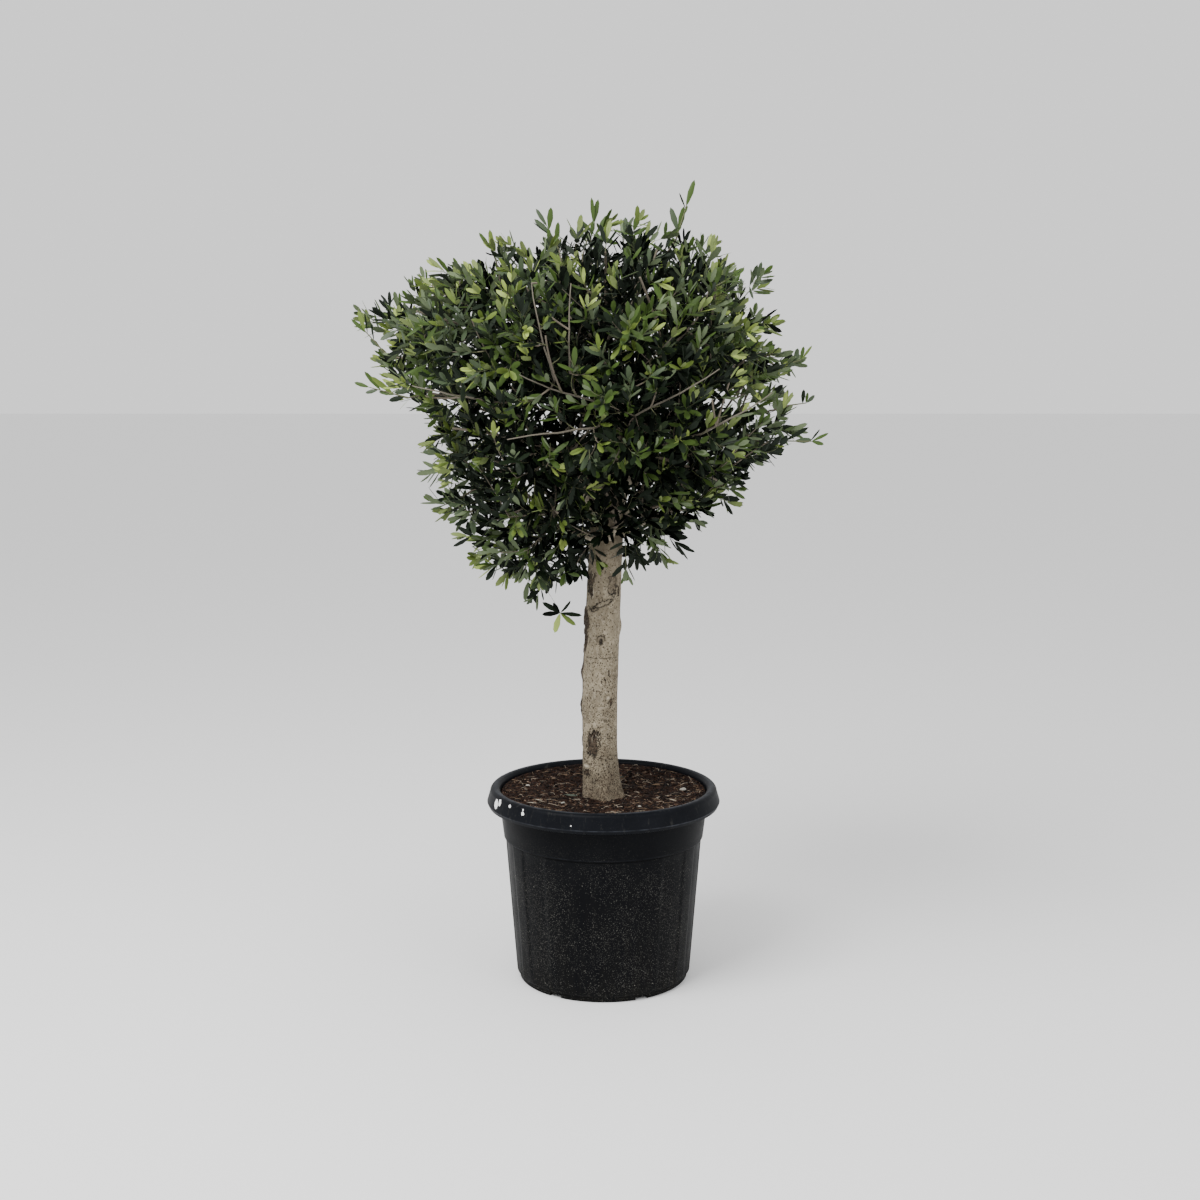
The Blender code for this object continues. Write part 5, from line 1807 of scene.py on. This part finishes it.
class OliveFoliageSettings(bpy.types.PropertyGroup):
    leaf_length: bpy.props.FloatProperty(
        name="Leaf length", description="Length of a full-grown leaf", default=0.0400, min=0.02,
        max=0.1, unit="LENGTH",
    )
    leaf_width: bpy.props.FloatProperty(
        name="Leaf width", description="Width of a full-grown leaf", default=0.0117, min=0.004,
        max=0.03, unit="LENGTH",
    )
    spacing: bpy.props.FloatProperty(
        name="Shoot spacing", description="How far apart the shoots end", default=1.0, min=0.5,
        max=3.0, subtype="FACTOR",
    )
    seed: bpy.props.IntProperty(name="Seed", description="Which tree grows", default=52, min=0)
    # The deep and dark leaves and the shaded undersides are painted shade inside the crown.
    deep: colour_of("Deep", "Leaves in the crown's heart", (0.0013, 0.0026, 0.0012))
    dark: colour_of("Dark", "Shaded old leaves", (0.0070, 0.0128, 0.0054))
    grey: colour_of("Grey", "Dull grey-green leaves", (0.040, 0.060, 0.028))
    mid: colour_of("Middle", "Full-grown leaves in the light", (0.042, 0.074, 0.014))
    fresh: colour_of("Fresh", "This year's leaves", (0.096, 0.138, 0.026))
    bright: colour_of("Bright", "Young tips", (0.255, 0.325, 0.080))
    silver: colour_of("Underside", "Silvery undersides", (0.125, 0.160, 0.088))
    young: colour_of("Young underside", "Undersides of young leaves", (0.185, 0.235, 0.085))
    shaded: colour_of("Shaded underside", "Undersides of inner leaves", (0.016, 0.022, 0.015))
    bark: colour_of("Twigs", "Bark of older twigs", (0.150, 0.128, 0.098))
    shoot: colour_of("Shoots", "Bark of young shoots", (0.110, 0.115, 0.060))
    stem: colour_of("Stems", "Bark of the stems that show", (0.135, 0.120, 0.094))


class OliveStageSettings(bpy.types.PropertyGroup):
    floor: colour_of("Floor", "Colour of the floor", (0.86, 0.86, 0.86))
    key: bpy.props.FloatProperty(
        name="Key light", description="Power of the main light", default=190, min=0, unit="POWER"
    )
    fill: bpy.props.FloatProperty(
        name="Fill light", description="Power of the fill light", default=40, min=0, unit="POWER"
    )
    sky: bpy.props.FloatProperty(
        name="Sky", description="Strength of the light all round", default=1.15, min=0, max=3
    )


# Operators


class OLIVE_OT_pot(bpy.types.Operator):
    """Make the pot with its ribs, rim and drain notches"""

    bl_idname = "olive.pot"
    bl_label = "Pot"

    def execute(self, context):
        pot = spun("pot_shell", pot_profile(), POT_STEPS)
        press_flutes(pot.data)
        cut_notches(pot)
        smooth(pot, 35)
        hand_in(pot, "pot", [plastic(context.scene.olive_pot)], "pot")
        return {"FINISHED"}


class OLIVE_OT_soil(bpy.types.Operator):
    """Fill the pot with peat, chips of bark, fibres and fallen leaves"""

    bl_idname = "olive.soil"
    bl_label = "Soil"

    def execute(self, context):
        settings = context.scene.olive_soil
        draw = random.Random(settings.seed)
        soil = build_soil_bed()
        hand_in(soil, "soil", [peat(settings)], "soil")
        chips = build_chips(draw)
        hand_in(chips, "soil", [litter(settings)], "soil")
        tones = (settings.fibre, settings.stalk, PALE_STALK)
        hand_in(build_fibres(draw), "soil", fibre_skins("fibre", tones), "soil")
        dry = fibre_skins("fallen", DRY_LEAF_TONES)
        hand_in(build_fallen_leaves(), "foliage", dry, "soil")
        hand_in(build_stones(draw), "soil", [stone_grain(settings)], "soil")
        return {"FINISHED"}


class OLIVE_OT_wood(bpy.types.Operator):
    """Make the trunk and its boughs"""

    bl_idname = "olive.wood"
    bl_label = "Trunk and boughs"

    def execute(self, context):
        settings = context.scene.olive_trunk
        noise.seed_set(NOISE_SEED)
        hand_in(build_trunk(), "bark", [trunk_bark(settings)], "trunk")
        limbs = plan_limbs(mass_plan())
        nodes = [f"bough_{name}" for name in limbs]
        hand_in(build_boughs(limbs), "bark", [bough_bark(settings)], *nodes)
        return {"FINISHED"}


class OLIVE_OT_foliage(bpy.types.Operator):
    """Grow the twigs and leaves of every mass"""

    bl_idname = "olive.foliage"
    bl_label = "Foliage"

    def execute(self, context):
        settings = context.scene.olive_foliage
        noise.seed_set(NOISE_SEED)
        tops = [
            plain(f"leaf_{tone}", getattr(settings, tone), 0.5, Specular_IOR_Level=shine)
            for tone, shine in zip(TONES, SHINE)
        ]
        unders = [
            plain(f"underside_{tone}", getattr(settings, tone), 0.8, Specular_IOR_Level=0.1)
            for tone in UNDERS
        ]
        bark = [
            plain("twig_bark", settings.bark, 0.85, Specular_IOR_Level=0.2),
            plain("shoot_bark", settings.shoot, 0.7, Specular_IOR_Level=0.2),
            plain("stem_bark", settings.stem, 0.8, Specular_IOR_Level=0.2),
        ]
        plan = mass_plan()
        limbs = plan_limbs(plan)
        for number, (name, _, _, _) in enumerate(plan):
            twigs, rows = grow_mass(number, name, plan, limbs, settings)
            node = f"foliage_{name}"
            hand_in(build_twigs(f"twigs_{name}", twigs), "bark", bark, node)
            hand_in(build_leaves(f"leaves_{name}", rows), "foliage", tops + unders, node)
        return {"FINISHED"}


class OLIVE_OT_stage(bpy.types.Operator):
    """Set up the floor, the lights and the camera"""

    bl_idname = "olive.stage"
    bl_label = "Stage"

    def execute(self, context):
        settings = context.scene.olive_stage
        deselect()
        bpy.ops.mesh.primitive_plane_add(size=60, location=(0, 0, FLOOR_Z))
        floor = context.object
        floor.name = "floor"
        floor.data.materials.append(plain("floor", settings.floor, 0.9))
        floor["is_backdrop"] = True
        world = bpy.data.worlds.new("studio")
        world.use_nodes = True
        background = world.node_tree.nodes["Background"]
        background.inputs[0].default_value = (1, 1, 1, 1)
        background.inputs[1].default_value = settings.sky
        context.scene.world = world
        for name, place, size in LIGHTS:
            bpy.ops.object.light_add(type="AREA", location=place)
            light = context.object
            light.data.energy = getattr(settings, name)
            light.data.size = size
            towards = LIT_PLACE - light.location
            light.rotation_euler = towards.to_track_quat("-Z", "Y").to_euler()
        bpy.ops.object.camera_add(location=EYE, rotation=(math.radians(EYE_TILT), 0, 0))
        camera = context.object
        camera.data.sensor_width = 36
        camera.data.lens = LENS
        context.scene.camera = camera
        return {"FINISHED"}


class OLIVE_PT_panel(bpy.types.Panel):
    """The steps that make the tree"""

    bl_label = "Potted Olive Tree"
    bl_idname = "OLIVE_PT_panel"
    bl_space_type = "VIEW_3D"
    bl_region_type = "UI"
    bl_category = "Olive Tree"

    def draw(self, context):
        for step in STEPS:
            self.layout.operator(step.bl_idname)
        for name, group in SETTINGS.items():
            box = self.layout.box()
            for prop in group.__annotations__:
                box.prop(getattr(context.scene, name), prop)


SETTINGS = {
    "olive_pot": OlivePotSettings,
    "olive_soil": OliveSoilSettings,
    "olive_trunk": OliveTrunkSettings,
    "olive_foliage": OliveFoliageSettings,
    "olive_stage": OliveStageSettings,
}
STEPS = (OLIVE_OT_stage, OLIVE_OT_pot, OLIVE_OT_soil, OLIVE_OT_wood, OLIVE_OT_foliage)


def register():
    for made in (*SETTINGS.values(), *STEPS, OLIVE_PT_panel):
        bpy.utils.register_class(made)
    for name, group in SETTINGS.items():
        setattr(bpy.types.Scene, name, bpy.props.PointerProperty(type=group))


def unregister():
    for name in SETTINGS:
        delattr(bpy.types.Scene, name)
    for made in reversed((*SETTINGS.values(), *STEPS, OLIVE_PT_panel)):
        bpy.utils.unregister_class(made)


def main():
    register()
    bpy.ops.olive.stage()
    bpy.ops.olive.pot()
    bpy.ops.olive.soil()
    bpy.ops.olive.wood()
    bpy.ops.olive.foliage()
    boxes = {"cad": CAD_BOX, "visual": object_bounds()}
    sizes = {name: [list(corner) for corner in corners] for name, corners in boxes.items()}


if __name__ == "__main__":
    main()
